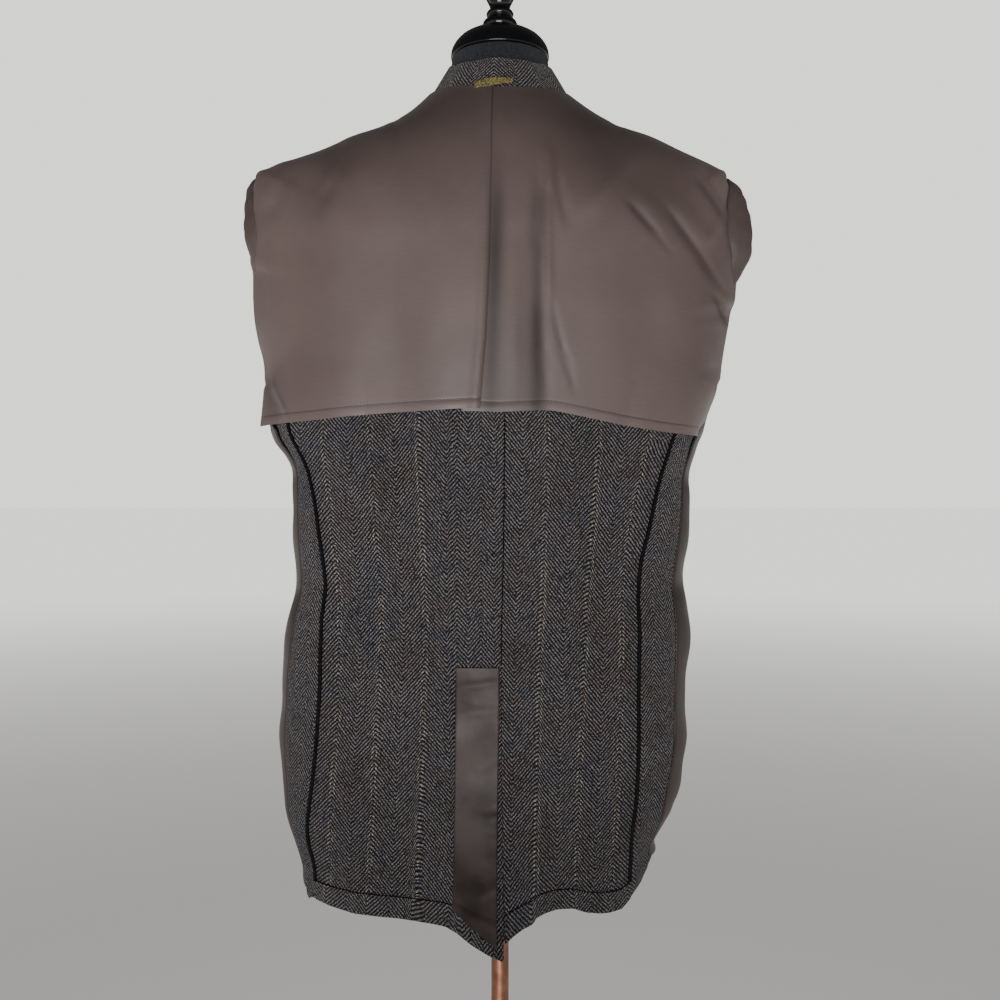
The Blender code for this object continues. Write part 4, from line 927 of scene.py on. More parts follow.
def addBacks():
    cloth, gap = coat["cloth"], coat["gap"]
    shares = edgeShares(backValues["columns"], 0.35)
    for hand in (-1, 1):
        right = hand > 0
        table, numbers = (columnsRight, columnsRightAt) if right else (columnsLeft, columnsLeftAt)

        def weave(outer, table=table, numbers=numbers):
            return columnMap(outer, table, numbers)

        def mirrored(outer, table=table, numbers=numbers):
            # the turned-up hem shows the same columns upside down
            uv, width = columnMap(outer, table, numbers)
            return np.stack([uv[..., 0] + 0.12, -uv[..., 1]], axis=-1), width

        drop = edgeDrop(shares, 0.24, 0.0016, 0.0010)[None, :]
        panel(*named("back", hand), backGrid(hand, shares), -cloth, -drop, right, tweed, "herringbone_tweed",
              weave)

        rows = bodyRows <= coat["hem"] + backValues["hemHigh"] + 0.004
        low = bodyRows[rows] - coat["hem"]
        level = coat["hem"] + low * backValues["hemHigh"] / low[-1]
        x = readLine(centreLine, level) + 0.0008 if right else 0.0 * level + backValues["leftHemEnds"]
        start, end = angleAt(x, level), seamAngle(hand, level, 1)
        across = edgeShares(60, 0.3)
        up = ((level - coat["hem"]) / backValues["hemHigh"])[:, None]
        drop = edgeDrop(up, backValues["hemHigh"], 0.0008, 0.0006)
        drop = drop - 0.0014 * np.exp(-(((1.0 - up) * backValues["hemHigh"] / 0.0040) ** 2))
        panel(*named("backHem", hand), between(level, start, end, across), gap, gap + cloth - drop, right,
              tweedSide, "herringbone_tweed", mirrored, held="folded", restsOn=(nodeOf("back", hand),))

        level, end = backRows(hand)
        low, high = backValues["stripEnds"]
        keep = (level >= coat["hem"] + low) & (level <= high)
        level, end = level[keep], shifted(end[keep], level[keep], -hand * backValues["slit"])
        start = seamAngle(hand, level, 1)
        across = edgeShares(backValues["stripColumns"], 0.5)
        drop = edgeDrop(across, 0.030, 0.0018, 0.0015, low=False)[None, :]
        panel(*named("sideAllowance", hand), between(level, start, end, across), gap, gap + cloth - drop, right,
              tweedSide, "herringbone_tweed",
              lambda outer: evenColumns(outer, wide=0.0150, start=0.55, skew=0.03),
              held="folded", restsOn=(nodeOf("back", hand),))

        turn = np.linspace(0.0, math.pi, 11)
        offset = -backValues["bindingWide"] / 2.0 * (1.0 + np.cos(turn)) - 0.0003
        keep = level >= backValues["liningEnds"]
        bound = shifted(start[keep][:, None], level[keep][:, None], hand * offset[None, :])
        boundLevel = np.repeat(level[keep][:, None], len(turn), axis=1)
        high = gap + 0.0021 * np.sin(turn)[None, :] ** 0.7
        panel(*named("sideBinding", hand), (bound, boundLevel), gap * 0.5, high, right, bindingPaint,
              "bias_binding", held="folded", restsOn=(nodeOf("back", hand),))


ventRight = ((0.70, -0.0030), (0.78, -0.0024), (0.86, -0.0012), (0.945, -0.0004))
ventLeft = ((0.70, -0.0445), (0.78, -0.0432), (0.86, -0.0424), (0.945, -0.0417))


facingCreases = (
    (-0.8, 4, 450, 696, 476, 701, 508, 693), (1.0, 5, 450, 687, 480, 685, 508, 679),
    (0.8, 6, 450, 717, 480, 712, 508, 716), (-0.7, 5, 466, 730, 486, 742, 506, 738),
    (0.9, 8, 456, 758, 480, 768, 506, 752), (-0.8, 6, 462, 798, 486, 788, 506, 772),
    (0.9, 7, 466, 808, 488, 822, 506, 812), (-0.7, 6, 458, 850, 484, 838, 506, 848),
    (0.8, 9, 448, 910, 466, 894, 482, 876), (-0.7, 6, 468, 884, 486, 872, 506, 858),
    (0.8, 6, 470, 902, 486, 892, 506, 880), (0.6, 10, 460, 640, 462, 720, 460, 800),
    (-0.6, 7, 474, 700, 470, 780, 472, 860),
)


def addCentre():
    cloth, gap, layer = coat["cloth"], coat["gap"], coat["layer"]

    def weave(outer):
        return columnMap(outer, columnsLeft, columnsLeftAt)

    level = np.linspace(0.948, 1.300, 70)
    start = shifted(angleAt(readLine(centreLine, level), level), level, -coat["seam"])
    end = angleAt(np.full(len(level), -0.0170), level)
    across = edgeShares(12, 0.6)
    drop = edgeDrop(across, 0.020, 0.0016, 0.0012)[None, :]
    panel("centreAllowance", "centre_allowance", between(level, start, end, across), gap, gap + 0.0018 - drop,
          False, tweedSide, "herringbone_tweed", weave, held="folded", restsOn=("back_left",))

    level = np.linspace(0.718, 0.9415, 150)
    start = angleAt(readLine(ventRight, level), level)
    end = angleAt(readLine(ventLeft, level), level)
    across = edgeShares(40, 0.5)
    rows = level[:, None] - 0.011 * (1.0 - across)[None, :] * smooth((0.76 - level[:, None]) / 0.05)
    angle = rowAngles(level, start, end, across)
    gather = np.sin(level * 430.0 + 3.0 * np.sin(level * 71.0))[:, None] * np.exp(-across / 0.20)[None, :]
    fold = creaseLift(coatAt(angle, rows, 0.0, False), angle, facingCreases) + 0.0003 * gather
    lift = gap + layer + 0.0016 * smooth((0.7265 - rows) / 0.004) + 0.5 * (fold + np.sqrt(fold**2 + 0.0004**2))
    drop = edgeDrop(across, 0.040, 0.0014, 0.0008)[None, :]
    panel("ventFacing", "vent_facing", (angle, rows), lift, lift + coat["lining"] - drop, False, satinFacing,
          "satin_lining", held="folded", restsOn=("back_left",))

    level = bodyRows[(bodyRows <= 0.945) & (bodyRows >= coat["hem"] + 0.0008)]
    across = np.linspace(-coat["underlap"], 0.0065, 18)
    level = level[:, None]
    rows = level + 0.020 * smooth((0.0020 - across)[None, :] / 0.026) * smooth((0.80 - level) / 0.08)
    depth = cloth + 2.0 * layer + layer * (1.0 - smooth((rows - coat["hem"]) / 0.04))
    grid = angleAt(np.broadcast_to(across, rows.shape), rows), rows
    panel("ventUnderlap", "vent_underlap", grid, -depth - cloth, -depth, True, tweed, "herringbone_tweed",
          evenColumns, held="folded", restsOn=("back_right",))


# ---- side bodies, fronts and their linings ----

frontValues = {"columns": 60, "sideColumns": 28, "facing": 0.345, "puff": 0.0030}


def addSidesAndFronts():
    cloth, gap, layer, lining = coat["cloth"], coat["gap"], coat["layer"], coat["lining"]
    for hand in (-1, 1):
        right = hand > 0
        shares = edgeShares(frontValues["sideColumns"], 0.5)
        panel(*named("side", hand), sideGrid(hand, shares), -cloth, 0.0, right, tweedSide, "herringbone_tweed",
              evenColumns)
        angle, level = sideGrid(hand, shares, top=(-12.0, -60.0))
        angle[:, 0] = shifted(angle[:, 0], level[:, 0], hand * backValues["slit"])
        rows = level[:, 0] >= backValues["liningEnds"]
        angle, level = angle[rows], level[rows]
        puff = 0.0022 * np.sin(math.pi * shares)[None, :]
        puff = np.where(level >= coat["chest"], 0.0030, puff + (0.0030 - puff) * smooth((level - 1.12) / 0.045))
        ruffle = 0.0009 * np.sin(level * 95.0 + 4.0 * shares[None, :]) * np.sin(level * 31.0)
        low = layer + puff + ruffle * np.sin(math.pi * shares)
        drop = edgeDrop(shares, 0.075, 0.0022, 0.0012, high=False)[None, :]
        panel(*named("sideLining", hand), (angle, level), low, low + lining - drop * 0.7, right, satinFront,
              "satin_lining", restsOn=(nodeOf("side", hand),))

        shares = edgeShares(frontValues["columns"], 0.3)
        grid = frontGrid(hand, shares)
        drop = edgeDrop(shares, 0.26, 0.0018, 0.0012)[None, :]
        panel(*named("front", hand), grid, -cloth, -drop, right, tweed, "herringbone_tweed", evenColumns)
        keep = shares <= 1.0 - frontValues["facing"] + 0.01
        share = shares[keep] / shares[keep][-1]
        angle, level = grid[0][:, keep], grid[1][:, keep]
        rows = level[:, 0] >= backValues["liningEnds"]
        puff = frontValues["puff"] * np.sin(math.pi * share)[None, :] * smooth((level[rows] - coat["hem"]) / 0.1)
        panel(*named("frontLining", hand), (angle[rows], level[rows]), gap + puff, gap + puff + lining, right,
              satinFront, "satin_lining", restsOn=(nodeOf("front", hand),))

        level = np.linspace(1.135, 1.395, 50)
        wide = 0.078 * smooth((level - 1.11) / 0.26) ** 0.8
        edge = frontEdge(hand, level)
        across = edgeShares(26, 0.4)
        start, end = shifted(edge, level, -hand * gap), shifted(edge, level, -hand * wide)
        deep = cloth + layer + 0.0006 * smooth(across / 0.34)[None, :]
        panel(*named("lapel", hand), between(level, start, end, across), -deep - cloth, -deep, right, tweed,
              "herringbone_tweed", evenColumns, held="folded", restsOn=(nodeOf("front", hand),))


# ---- the half lining ----

liningHem = {
    -1: ((255, 427), (260, 426), (290, 422.5), (316, 420), (350.5, 416), (385, 413), (419, 411),
         (454, 409), (470, 408),
         (480, 408.6), (492, 409)),
    1: ((470, 411), (500, 412), (522, 411), (545, 410), (557, 411), (586, 417), (620.5, 424.6), (655, 430.6),
        (672, 433), (701.5, 436), (712, 437)),
}
liningOutline = {
    -1: ((262, 255), (276, 253), (299, 253), (316, 254), (328, 255.6), (340, 257.6), (357, 262),
         (367, 267), (381, 264),
         (402, 262.7), (414, 261.5), (427, 260)),
    1: ((300, 732), (306, 731), (323, 729), (340, 725.6), (361, 722), (383, 719.6), (400, 713.5),
        (419, 706), (437, 701)),
}
# painted shade: how much darker the lining is painted, half width in pixels, then the line's pixels
paintedLiningShade = (
    (0.34, 9, 540, 170, 539, 240, 537, 300), (0.58, 8, 536, 250, 536, 330, 536, 380, 537, 480),
    (0.66, 9, 497, 130, 496, 220, 494, 290, 491, 360, 488, 490),
    (0.20, 14, 514, 260, 514, 320, 512, 380, 512, 470),
    (0.42, 42, 280, 190, 350, 140, 420, 112, 500, 100, 580, 112, 660, 140, 740, 190),
    (0.20, 26, 560, 100, 590, 150, 640, 190, 700, 220, 730, 240), (0.16, 20, 360, 130, 330, 180, 290, 240),
    (0.12, 36, 300, 215, 400, 190, 500, 180, 600, 190, 700, 215),
    (0.14, 20, 706, 220, 714, 300, 706, 360, 700, 450), (0.26, 11, 266, 372, 268, 400, 272, 432),
    (0.34, 3, 267, 366, 275, 388, 283, 404, 292, 424),
    (0.30, 5, 660, 204, 676, 228, 694, 252, 710, 278, 724, 303), (0.30, 4, 622, 196, 640, 217, 660, 240),
    (0.35, 4, 712, 292, 722, 312, 730, 332), (0.30, 5, 694, 176, 712, 200, 728, 226),
)
# flare is how far the free hem stands off at the armhole
halfLining = {"hemLevel": 1.1845, "flareLeft": 0.0120, "flareRight": 0.0060, "overLeft": 1.350,
              "overRight": 1.322, "overReach": 0.060, "pleatUnder": -0.036, "columns": 150, "pucker": 0.0007}


def hemLevels(hand, shares):
    # steps the hem's level up or down until it projects on its line in the photograph
    level = np.full(len(shares), halfLining["hemLevel"])
    line = np.array(liningHem[hand], float)
    x = halfLining["pleatUnder"] if hand > 0 else readLine(pleatLine, halfLining["hemLevel"])
    for _ in range(12):
        start = angleAt(np.full(len(shares), x), level)
        angle = start + (hand * 92.0 - start) * shares
        px, py = toPixels(coatAt(angle, level, 0.006, hand > 0))
        wanted = np.interp(px, line[:, 0], line[:, 1])
        level = level + 0.8 * (py - wanted) * (photo["away"] - 0.1) / photo["focal"]
    return level


def meetOutline(grid, hand):
    # how far each row moves sideways for its outline to meet the photograph's
    px, py = toPixels(grid)
    row = np.arange(len(grid))
    best = np.argmax(hand * px, axis=1)
    line = np.array(liningOutline[hand], float)
    at = py[row, best]
    wanted = np.interp(at, line[:, 0], line[:, 1])
    move = (wanted - px[row, best]) * (photo["away"] + grid[row, best, 1]) / photo["focal"]
    move = np.clip(move, -0.012, 0.012) * smooth((at - line[0, 0]) / 14.0)
    return evened(move)[:, None]


def addBackLinings():
    gap, layer, lining, cloth = coat["gap"], coat["layer"], coat["lining"], coat["cloth"]
    for hand in (-1, 1):
        right = hand > 0
        armAngle, armLevel = armhole(hand, np.linspace(180.0, 360.0, 61))
        lowLevel = armLevel[0] - 0.002
        meetLevel = np.interp(240.0, np.linspace(180.0, 360.0, 61), armLevel)
        upper = np.concatenate([np.linspace(lowLevel, meetLevel, 9)[1:],
                                np.linspace(meetLevel, coat["tip"], 96)[1:],
                                np.linspace(coat["tip"], coat["neck"] - 0.0023, 60)[1:]])
        shares = edgeShares(halfLining["columns"], 0.4)
        hem = hemLevels(hand, shares)
        down = np.concatenate([np.linspace(0.0, 0.36, 18) ** 1.2, np.linspace(0.36, 1.0, 9)[1:]])[:, None]
        level = np.concatenate([hem * (1.0 - down) + lowLevel * down,
                                np.repeat(upper[:, None], len(shares), axis=1)])
        end = np.minimum(np.abs(np.interp(upper, armLevel, armAngle)), 92.0)
        over = smooth((halfLining["overRight" if right else "overLeft"] - upper) / halfLining["overReach"])
        end = end + (92.0 - end) * over
        end = hand * np.where(upper > coat["tip"] + 1e-6, 90.0, end)
        end = shifted(end, upper, -hand * coat["seam"])
        rows = level[:, 0].copy()
        ends = np.concatenate([np.full(len(down), hand * 92.0), end])
        x = np.full(len(rows), halfLining["pleatUnder"]) if right else readLine(pleatLine, rows)
        start = angleAt(x, rows)
        evenly = np.concatenate([np.ones(len(down)), smooth((lowLevel + 0.05 - upper) / 0.05)])[:, None]
        angle = rowAngles(rows, start, ends, shares)
        angle = angle + (start[:, None] + (ends - start)[:, None] * shares[None, :] - angle) * evenly
        whole = 0.24
        share = np.clip((shares * (whole + 0.036) - 0.036) / whole, 0.0, 1.0) if right else shares
        reach = smooth((share - 0.55) / 0.45)[None, :]
        flare = halfLining["flareRight" if right else "flareLeft"]
        levels = rows[0], lowLevel, lowLevel + 0.004, meetLevel, meetLevel + 0.030, meetLevel + 0.06
        low = np.interp(rows, levels, (flare, 0.25 * flare, 0.0030, 0.0020, 0.0010, 0.0))[:, None]
        over = np.concatenate([0.0 * down[:, 0], over])[:, None]
        overRoll = 0.0014 * smooth((share - 0.80) / 0.14)[None, :] * over
        lift = gap + low * reach + overRoll + 0.0006 * smooth((lowLevel + 0.06 - level) / 0.08)
        strip = (gap + cloth + 3.0 * layer) * smooth((share - 0.25) / 0.15)[None, :]
        lift = np.maximum(lift, strip * smooth((1.240 - level) / 0.054))
        across = coatBase(angle, level)[..., 0]
        seamOver = smooth((1.38 - level) / 0.10) * (0.0018 + layer)
        if right:
            lift = lift + (layer + seamOver) * (1.0 - smooth((across - 0.006) / 0.050))
        else:
            fold = (across - readLine(pleatLine, level)) / 0.010
            puff = 0.0012 * np.exp(-((fold + 0.55) / 0.5) ** 2)
            lift = lift + (lining + 2.5 * layer + seamOver) * smooth((across + 0.100) / 0.062) + puff
        fromHem = (level - hem[None, :]) * 1.02
        puff = 0.0003 * np.sin(math.pi * np.clip(fromHem / satinValues["hem"], 0.0, 1.0))
        groove = 0.00015 * np.exp(-(((fromHem - satinValues["hem"]) / 0.0012) ** 2))
        edge = edgeDrop(shares, whole, 0.0012, 0.0006)[None, :]
        high = lift + lining + puff - groove - edge
        fold = liningFold(angle, level, right, shares)
        nearSeam = np.exp(-((1.0 - shares)[None, :] * whole / 0.007)) * smooth((level - 1.25) / 0.03)
        nearSeam = nearSeam * (level < coat["tip"])
        gathers = 1.0 + np.sin(level * 690.0 + 3.0 * np.sin(level * 130.0))
        fold = fold + halfLining["pucker"] * nearSeam * gathers
        outer = coatAt(angle, level, high + fold, right)
        inner = coatAt(angle, level, lift + fold, right)
        move = meetOutline(outer, hand) * smooth((shares - 0.55) / 0.40)[None, :]
        outer[..., 0] += move
        inner[..., 0] += move
        # painted shade along folds, beside the pleat and across the shoulders, carried to the satin by the extra
        # map
        dark = creaseLift(outer, angle, paintedLiningShade) * 1000.0
        name, node = named("backLining", hand)
        piece = wall(name, outer, inner, satin, extra=np.clip(dark, 0.0, 0.8))
        finish(piece, [node])
        cutSheet(outer, restsOn=(nodeOf("back", hand),))


# ---- sleeves ----

sleeveRings = (
    # height at the form's side, at the coat's side, how deep those two stand, half width
    (1.412, 1.224, 0.018, 0.007, 0.0665), (1.340, 1.196, 0.031, 0.007, 0.0700),
    (1.260, 1.168, 0.036, 0.007, 0.0730), (1.170, 1.115, 0.037, 0.007, 0.0740),
    (1.060, 1.045, 0.036, 0.006, 0.0720), (0.950, 0.950, 0.035, 0.006, 0.0680),
    (0.840, 0.840, 0.033, 0.005, 0.0600),
)
sleeveValues = {
    "taper": {-1: 97.0, 1: 108.0}, "throat": (1.392, 1.246, 0.0170, 0.0080, 0.0610), "inset": (0.0038, 0.0060),
    "mouth": 0.0035, "turns": 160, "cuff": 0.12,
    # the armhole's size at each ring, the share of the roll's reach, the share of the puckers
    "rollRings": ((0.962, 0.03, 0.0), (0.985, 0.55, 1.0), (0.930, 1.00, 0.60), (0.850, 0.85, 0.15),
                  (0.800, 0.10, 0.0)),
}
rollReach = np.array((
    (0, 0.0040, 0.0040), (30, 0.0085, 0.0150), (60, 0.0148, 0.0245), (90, 0.0150, 0.0225),
    (120, 0.0085, 0.0090), (150, 0.0050, 0.0050), (180, 0.0040, 0.0040),
))
# turn from the armhole's top towards the back, width in degrees, depth in millimetres
rollPuckers = {
    -1: ((-20, 5, -1.5), (-36, 6, -2.5), (-52, 5, -3.0), (-63, 4, -2.6), (-78, 7, -2.0), (-95, 5, -2.6),
         (-112, 6, -2.0),
         (-134, 8, -1.4), (20, 7, -1.6), (44, 7, -2.2), (70, 8, -2.4), (96, 8, -2.0), (125, 9, -1.4)),
    1: ((-18, 6, -1.8), (-33, 5, -2.8), (-46, 5, -3.2), (-59, 5, -3.4), (-72, 5, -2.6), (-86, 5, -3.2),
        (-101, 5, -2.4),
        (-118, 6, -2.0), (-138, 8, -1.4), (22, 7, -1.8), (47, 7, -2.4), (72, 8, -2.4), (99, 8, -2.0),
        (128, 9, -1.4)),
}


def sleeveRing(hand, ring, turns):
    # an oval in the side view, laid on the coat and moved in by a depth that changes from its top to its bottom
    top, low, deepTop, deepLow, half = ring
    turn = np.radians(turns)
    y = half * np.sin(turn) + forward(turn)
    z = (top + low) / 2.0 + (top - low) / 2.0 * np.cos(turn)
    square = np.sign(np.cos(turn)) * np.abs(np.cos(turn)) ** 0.6
    deep = (deepTop + deepLow) / 2.0 + (deepTop - deepLow) / 2.0 * square
    angle, level = onCoat(y, z, hand)
    return coatBase(angle, level) - coatNormal(angle, level) * deep[:, None]


def spread(rings, steps):
    # more rings on a smooth curve through those given
    count = len(rings)
    table = np.column_stack([np.arange(count), rings.reshape(count, -1)])
    at = np.linspace(0.0, count - 1.0, (count - 1) * steps + 1)
    return readTable(table, at).reshape(len(at), *rings.shape[1:])


def tubeInner(rings, thickness):
    out = gridNormals(rings, closed=True)
    centre = rings.mean(axis=1, keepdims=True)
    return rings - np.sign(((rings - centre) * out).sum(axis=-1).mean()) * out * thickness


def addSleeves():
    v = sleeveValues
    middle, half = (coat["armTop"] + coat["armLow"]) / 2.0, (coat["armTop"] - coat["armLow"]) / 2.0
    for hand in (-1, 1):
        turns = hand * np.linspace(0.0, 360.0, v["turns"], endpoint=False)
        mouth = (coat["armTop"], coat["armLow"], v["mouth"], v["mouth"], coat["armHalf"])
        rings = spread(np.array([sleeveRing(hand, ring, turns) for ring in (mouth, *sleeveRings)]), 7)
        uv, width = evenColumns(rings, closed=True)
        name, node = named("sleeve", hand)
        piece = wall(name, rings, tubeInner(rings, coat["cloth"]), tweedSide, uv, width, closed=True)
        finish(piece, [node])
        cutSheet(rings, closed=True, restsOn=(nodeOf("back", hand), nodeOf("front", hand)))

        away = (turns + 180.0) % 360.0 - 180.0
        reach = np.interp(np.abs(away), rollReach[:, 0], rollReach[:, 1 if hand < 0 else 2])
        taper = smooth((v["taper"][hand] - np.abs(away)) / 34.0)
        reach = np.where(away < 0.0, 0.0004 + (reach - 0.0004) * taper, reach)
        pucker = sum(0.001 * depth * np.exp(-(((away - at) / wide) ** 2))
                     for at, wide, depth in rollPuckers[hand])
        roll = []
        for size, share, gathered in v["rollRings"]:
            ring = (middle + half * size, middle - half * size, 0.0, 0.0, coat["armHalf"] * size)
            out = np.maximum(reach * share + pucker * gathered, 0.0002 + 0.02 * reach)
            roll.append(sleeveRing(hand, ring, turns) + np.array([hand, 0.0, 0.0]) * out[:, None])
        across, along = v["inset"]
        for top, low, deepTop, deepLow, wide in (v["throat"], *sleeveRings[1:]):
            roll.append(sleeveRing(hand, (top, low, deepTop - across, deepLow + across, wide - along), turns))
        rings = np.array(roll)
        rings[-1] += (rings[-2] - rings[-1]) * v["cuff"]
        rings = spread(rings, 7)
        name, node = named("sleeveLining", hand)
        piece = wall(name, rings, tubeInner(rings, coat["lining"]), satinPlain, closed=True)
        finish(piece, [node])
        cutSheet(rings, closed=True, restsOn=(nodeOf("sleeve", hand),))


# ---- collar, hanger loop, buttons ----

collarLine = np.array(((0, 0.0365, 0.0200), (45, 0.0310, 0.0190), (90, 0.0315, 0.0175), (115, 0.0220, 0.0110),
                       (132, 0.0120, 0.0060)))
collarValues = {"thick": 0.0040, "wall": 0.0017, "fallEnd": 0.007, "stations": 160, "bend": 9, "stand": 16,
                "column": 0.0235, "firstColumn": 0.35}


def addCollar():
    # a section of stand, fold and fall, carried round the neck seam
    v = collarValues
    turns = np.linspace(-collarLine[-1, 0], collarLine[-1, 0], v["stations"])
    rise, lean = readTable(collarLine, np.abs(turns)).T
    foot = coatBase(turns, np.full(len(turns), coat["neck"]))
    foot[:, 2] += coat["gap"]
    around = coatBase(turns + 1.0, coat["neck"]) - coatBase(turns - 1.0, coat["neck"])
    inward = np.stack([-around[:, 1], around[:, 0], np.zeros(len(turns))], axis=1)
    inward /= np.linalg.norm(inward, axis=1, keepdims=True)
    height = np.hypot(rise, lean)
    vertical = np.array([0.0, 0.0, 1.0])
    up = (inward * lean[:, None] + vertical * rise[:, None]) / height[:, None]
    through = (inward * rise[:, None] - vertical * lean[:, None]) / height[:, None]
    fold = v["thick"] / 2.0
    bend = np.linspace(0.0, math.pi, v["bend"])
    stand = np.linspace(0.0, 1.0, v["stand"])[:-1]
    end = np.minimum(v["fallEnd"], 0.6 * height)[:, None]
    tall = height[:, None]
    out = np.concatenate([0.0 * stand, fold - fold * np.cos(bend), [v["thick"]]])
    outUp = np.concatenate([(tall - fold) * stand, tall - fold + fold * np.sin(bend) + 0.0 * tall, end], axis=1)
    tight = fold - v["wall"]
    inside = np.concatenate([[v["wall"]] * len(stand), fold - tight * np.cos(bend), [v["thick"] - v["wall"]]])
    insideUp = np.concatenate([(tall - fold) * stand, tall - fold + tight * np.sin(bend) + 0.0 * tall, end],
                              axis=1)
    ripple = 0.0004 * np.sin(turns * 0.21)[:, None, None] * through[:, None]
    outer = foot[:, None] + through[:, None] * out[None, :, None] + up[:, None] * outUp[..., None] + ripple
    inner = foot[:, None] + through[:, None] * inside[None, :, None] + up[:, None] * insideUp[..., None] + ripple
    along = runOf(foot)
    number = (along - along[len(along) // 2]) / v["column"] + v["firstColumn"]
    uv = np.stack(np.meshgrid(number, runOf(outer[len(turns) // 2]), indexing="ij"), axis=-1)
    piece = wall("collarStand", outer, inner, tweedCollar, uv, np.full(uv.shape[:2], v["column"]))
    finish(piece, ["collar"])
    cutSheet(outer, restsOn=("back_left", "back_right"))


hangerValues = {"left": -0.0245, "right": 0.0125, "heights": (1.4968, 1.5006), "wide": (0.0066, 0.0034, 0.0022),
                "thick": 0.0010, "bow": 0.0020}


def addHangerLoop():
    v = hangerValues
    share = np.linspace(0.0, 1.0, 60)
    across = v["left"] + (v["right"] - v["left"]) * share
    level = np.full(len(share), coat["neck"] - 0.001)
    base = coatBase(angleAt(across, level), level)
    back = base[:, 1] - 0.0052 - v["bow"] * np.sin(math.pi * share)
    middle = v["heights"][0] + (v["heights"][1] - v["heights"][0]) * share
    side = np.linspace(-1.0, 1.0, 9)
    crown = 0.0006 * (1.0 - np.abs(side) ** 3)
    left, right, more = v["wide"]
    wide = left + (right - left) * share + more * np.sin(math.pi * share)
    up = middle[:, None] + side[None, :] * wide[:, None] / 2.0
    across, back = across[:, None] + 0.0 * up, back[:, None] + 0.0 * up
    outer = np.stack([across, back - v["thick"] - crown, up], axis=-1)
    inner = np.stack([across, back, up], axis=-1)
    piece = wall("hangerLoop", outer, inner, braid)
    finish(piece, ["hanger_loop"])


buttonValues = {"levels": (("buttonUpper", "button_upper", 1.118), ("buttonLower", "button_lower", 1.018)),
                "inset": 0.019, "radius": 0.010, "thick": 0.0030, "sides": 64}


def addButtons():
    v = buttonValues
    turns = np.linspace(0.0, 2.0 * math.pi, v["sides"], endpoint=False)
    profile = np.array(((0.80, 0.0), (0.93, 0.10), (1.0, 0.32), (1.0, 0.72), (0.94, 0.96), (0.86, 1.0),
                        (0.78, 0.93),
                        (0.70, 0.72), (0.45, 0.62)))
    for name, node, level in v["levels"]:
        level = np.array([level])
        angle = shifted(frontEdge(-1, level), level, v["inset"])
        out = coatNormal(angle, level)[0]
        centre = coatBase(angle, level)[0] - out * (coat["cloth"] + coat["layer"])
        side = np.cross(out, (0.0, 0.0, 1.0))
        side /= np.linalg.norm(side)
        circle = np.cos(turns)[:, None] * side + np.sin(turns)[:, None] * np.cross(side, out)
        wide, deep = spread(profile[:, None, :], 4)[:, 0].T[..., None, None]
        grid = centre + circle[None] * (v["radius"] * wide) - out * (v["thick"] * deep)
        uv = np.zeros((grid.shape[0], grid.shape[1] + 1, 2))
        finish(closedMesh(name, grid, horn, uv), [node])


# ---- dress form and stand ----

formNeck = (
    # height behind, at the side, in front, half width, depth behind, in front, squareness
    (1.5548, 1.5548, 1.5548, 0.0497, 0.0492, 0.0492, 2.0),
    (1.5450, 1.5450, 1.5450, 0.0502, 0.0494, 0.0494, 2.0),
    (1.5350, 1.5360, 1.5330, 0.0490, 0.0495, 0.0490, 2.0),
    (1.5240, 1.5260, 1.5180, 0.0520, 0.0545, 0.0515, 2.0),
    (1.5130, 1.5180, 1.5020, 0.0575, 0.0635, 0.0560, 2.1),
    (1.5030, 1.5110, 1.4840, 0.0645, 0.0740, 0.0600, 2.2),
)
formBody = (
    (1.3830, 1.4350, 1.3400, 0.2010, 0.1060, 0.1130, 2.3),
    (1.3500, 1.4200, 1.3050, 0.2000, 0.1075, 0.1150, 2.3),
    (1.3000, 1.3550, 1.2650, 0.1900, 0.1050, 0.1170, 2.3),
    (1.2550, 1.2950, 1.2300, 0.1790, 0.1010, 0.1165, 2.3),
    (1.2000, 1.2200, 1.1900, 0.1680, 0.0960, 0.1130, 2.3),
    (1.1200, 1.1300, 1.1150, 0.1530, 0.0880, 0.1040, 2.3),
    (1.0300, 1.0300, 1.0300, 0.1430, 0.0830, 0.0960, 2.3),
    (0.9400, 0.9400, 0.9400, 0.1440, 0.0870, 0.0970, 2.3),
    (0.8600, 0.8600, 0.8600, 0.1480, 0.0900, 0.0970, 2.3),
    (0.8000, 0.8000, 0.8000, 0.1490, 0.0890, 0.0950, 2.3),
    (0.7680, 0.7680, 0.7680, 0.1460, 0.0860, 0.0920, 2.3),
    (0.7600, 0.7600, 0.7600, 0.1380, 0.0790, 0.0850, 2.3),
)
formValues = {"columns": 144, "shoulders": (1.415, 1.440, 1.462, 1.483), "rest": 0.0005, "clearFront": 0.0055}


def quarters(point):
    # angles at even arcs between the four quarter points of a loop
    even = np.linspace(0.0, 1.0, formValues["columns"] // 4 + 1)[:-1]
    found = []
    for k in range(4):
        fine = np.linspace(-180.0 + 90.0 * k, -90.0 + 90.0 * k, 361)
        run = runOf(point(fine))
        found.append(np.interp(even * run[-1], run, fine))
    return np.concatenate(found)


def ownRing(row):
    behind, side, front, half, deepBack, deepFront, square = row

    def point(angle):
        return loopPoint(angle, behind, side, front, half, half, deepBack, deepFront, square)
    return point(quarters(point))


def shoulderRing(level):
    # the coat's loop at a level, moved in until it lies under the cloth
    side, front, left, right, deepBack, deepFront = readTable(coatLoops, level)
    half = min(left, right)

    def point(angle):
        return loopPoint(angle, level, side, front, half, half, deepBack, deepFront, coat["square"])
    angle = quarters(point)
    away = formValues["rest"]
    away = away + (formValues["clearFront"] - away) * smooth((np.abs(angle) - 88.0) / 25.0)
    return point(angle) - coatNormal(angle, np.full(len(angle), level)) * (coat["cloth"] + away)[:, None]


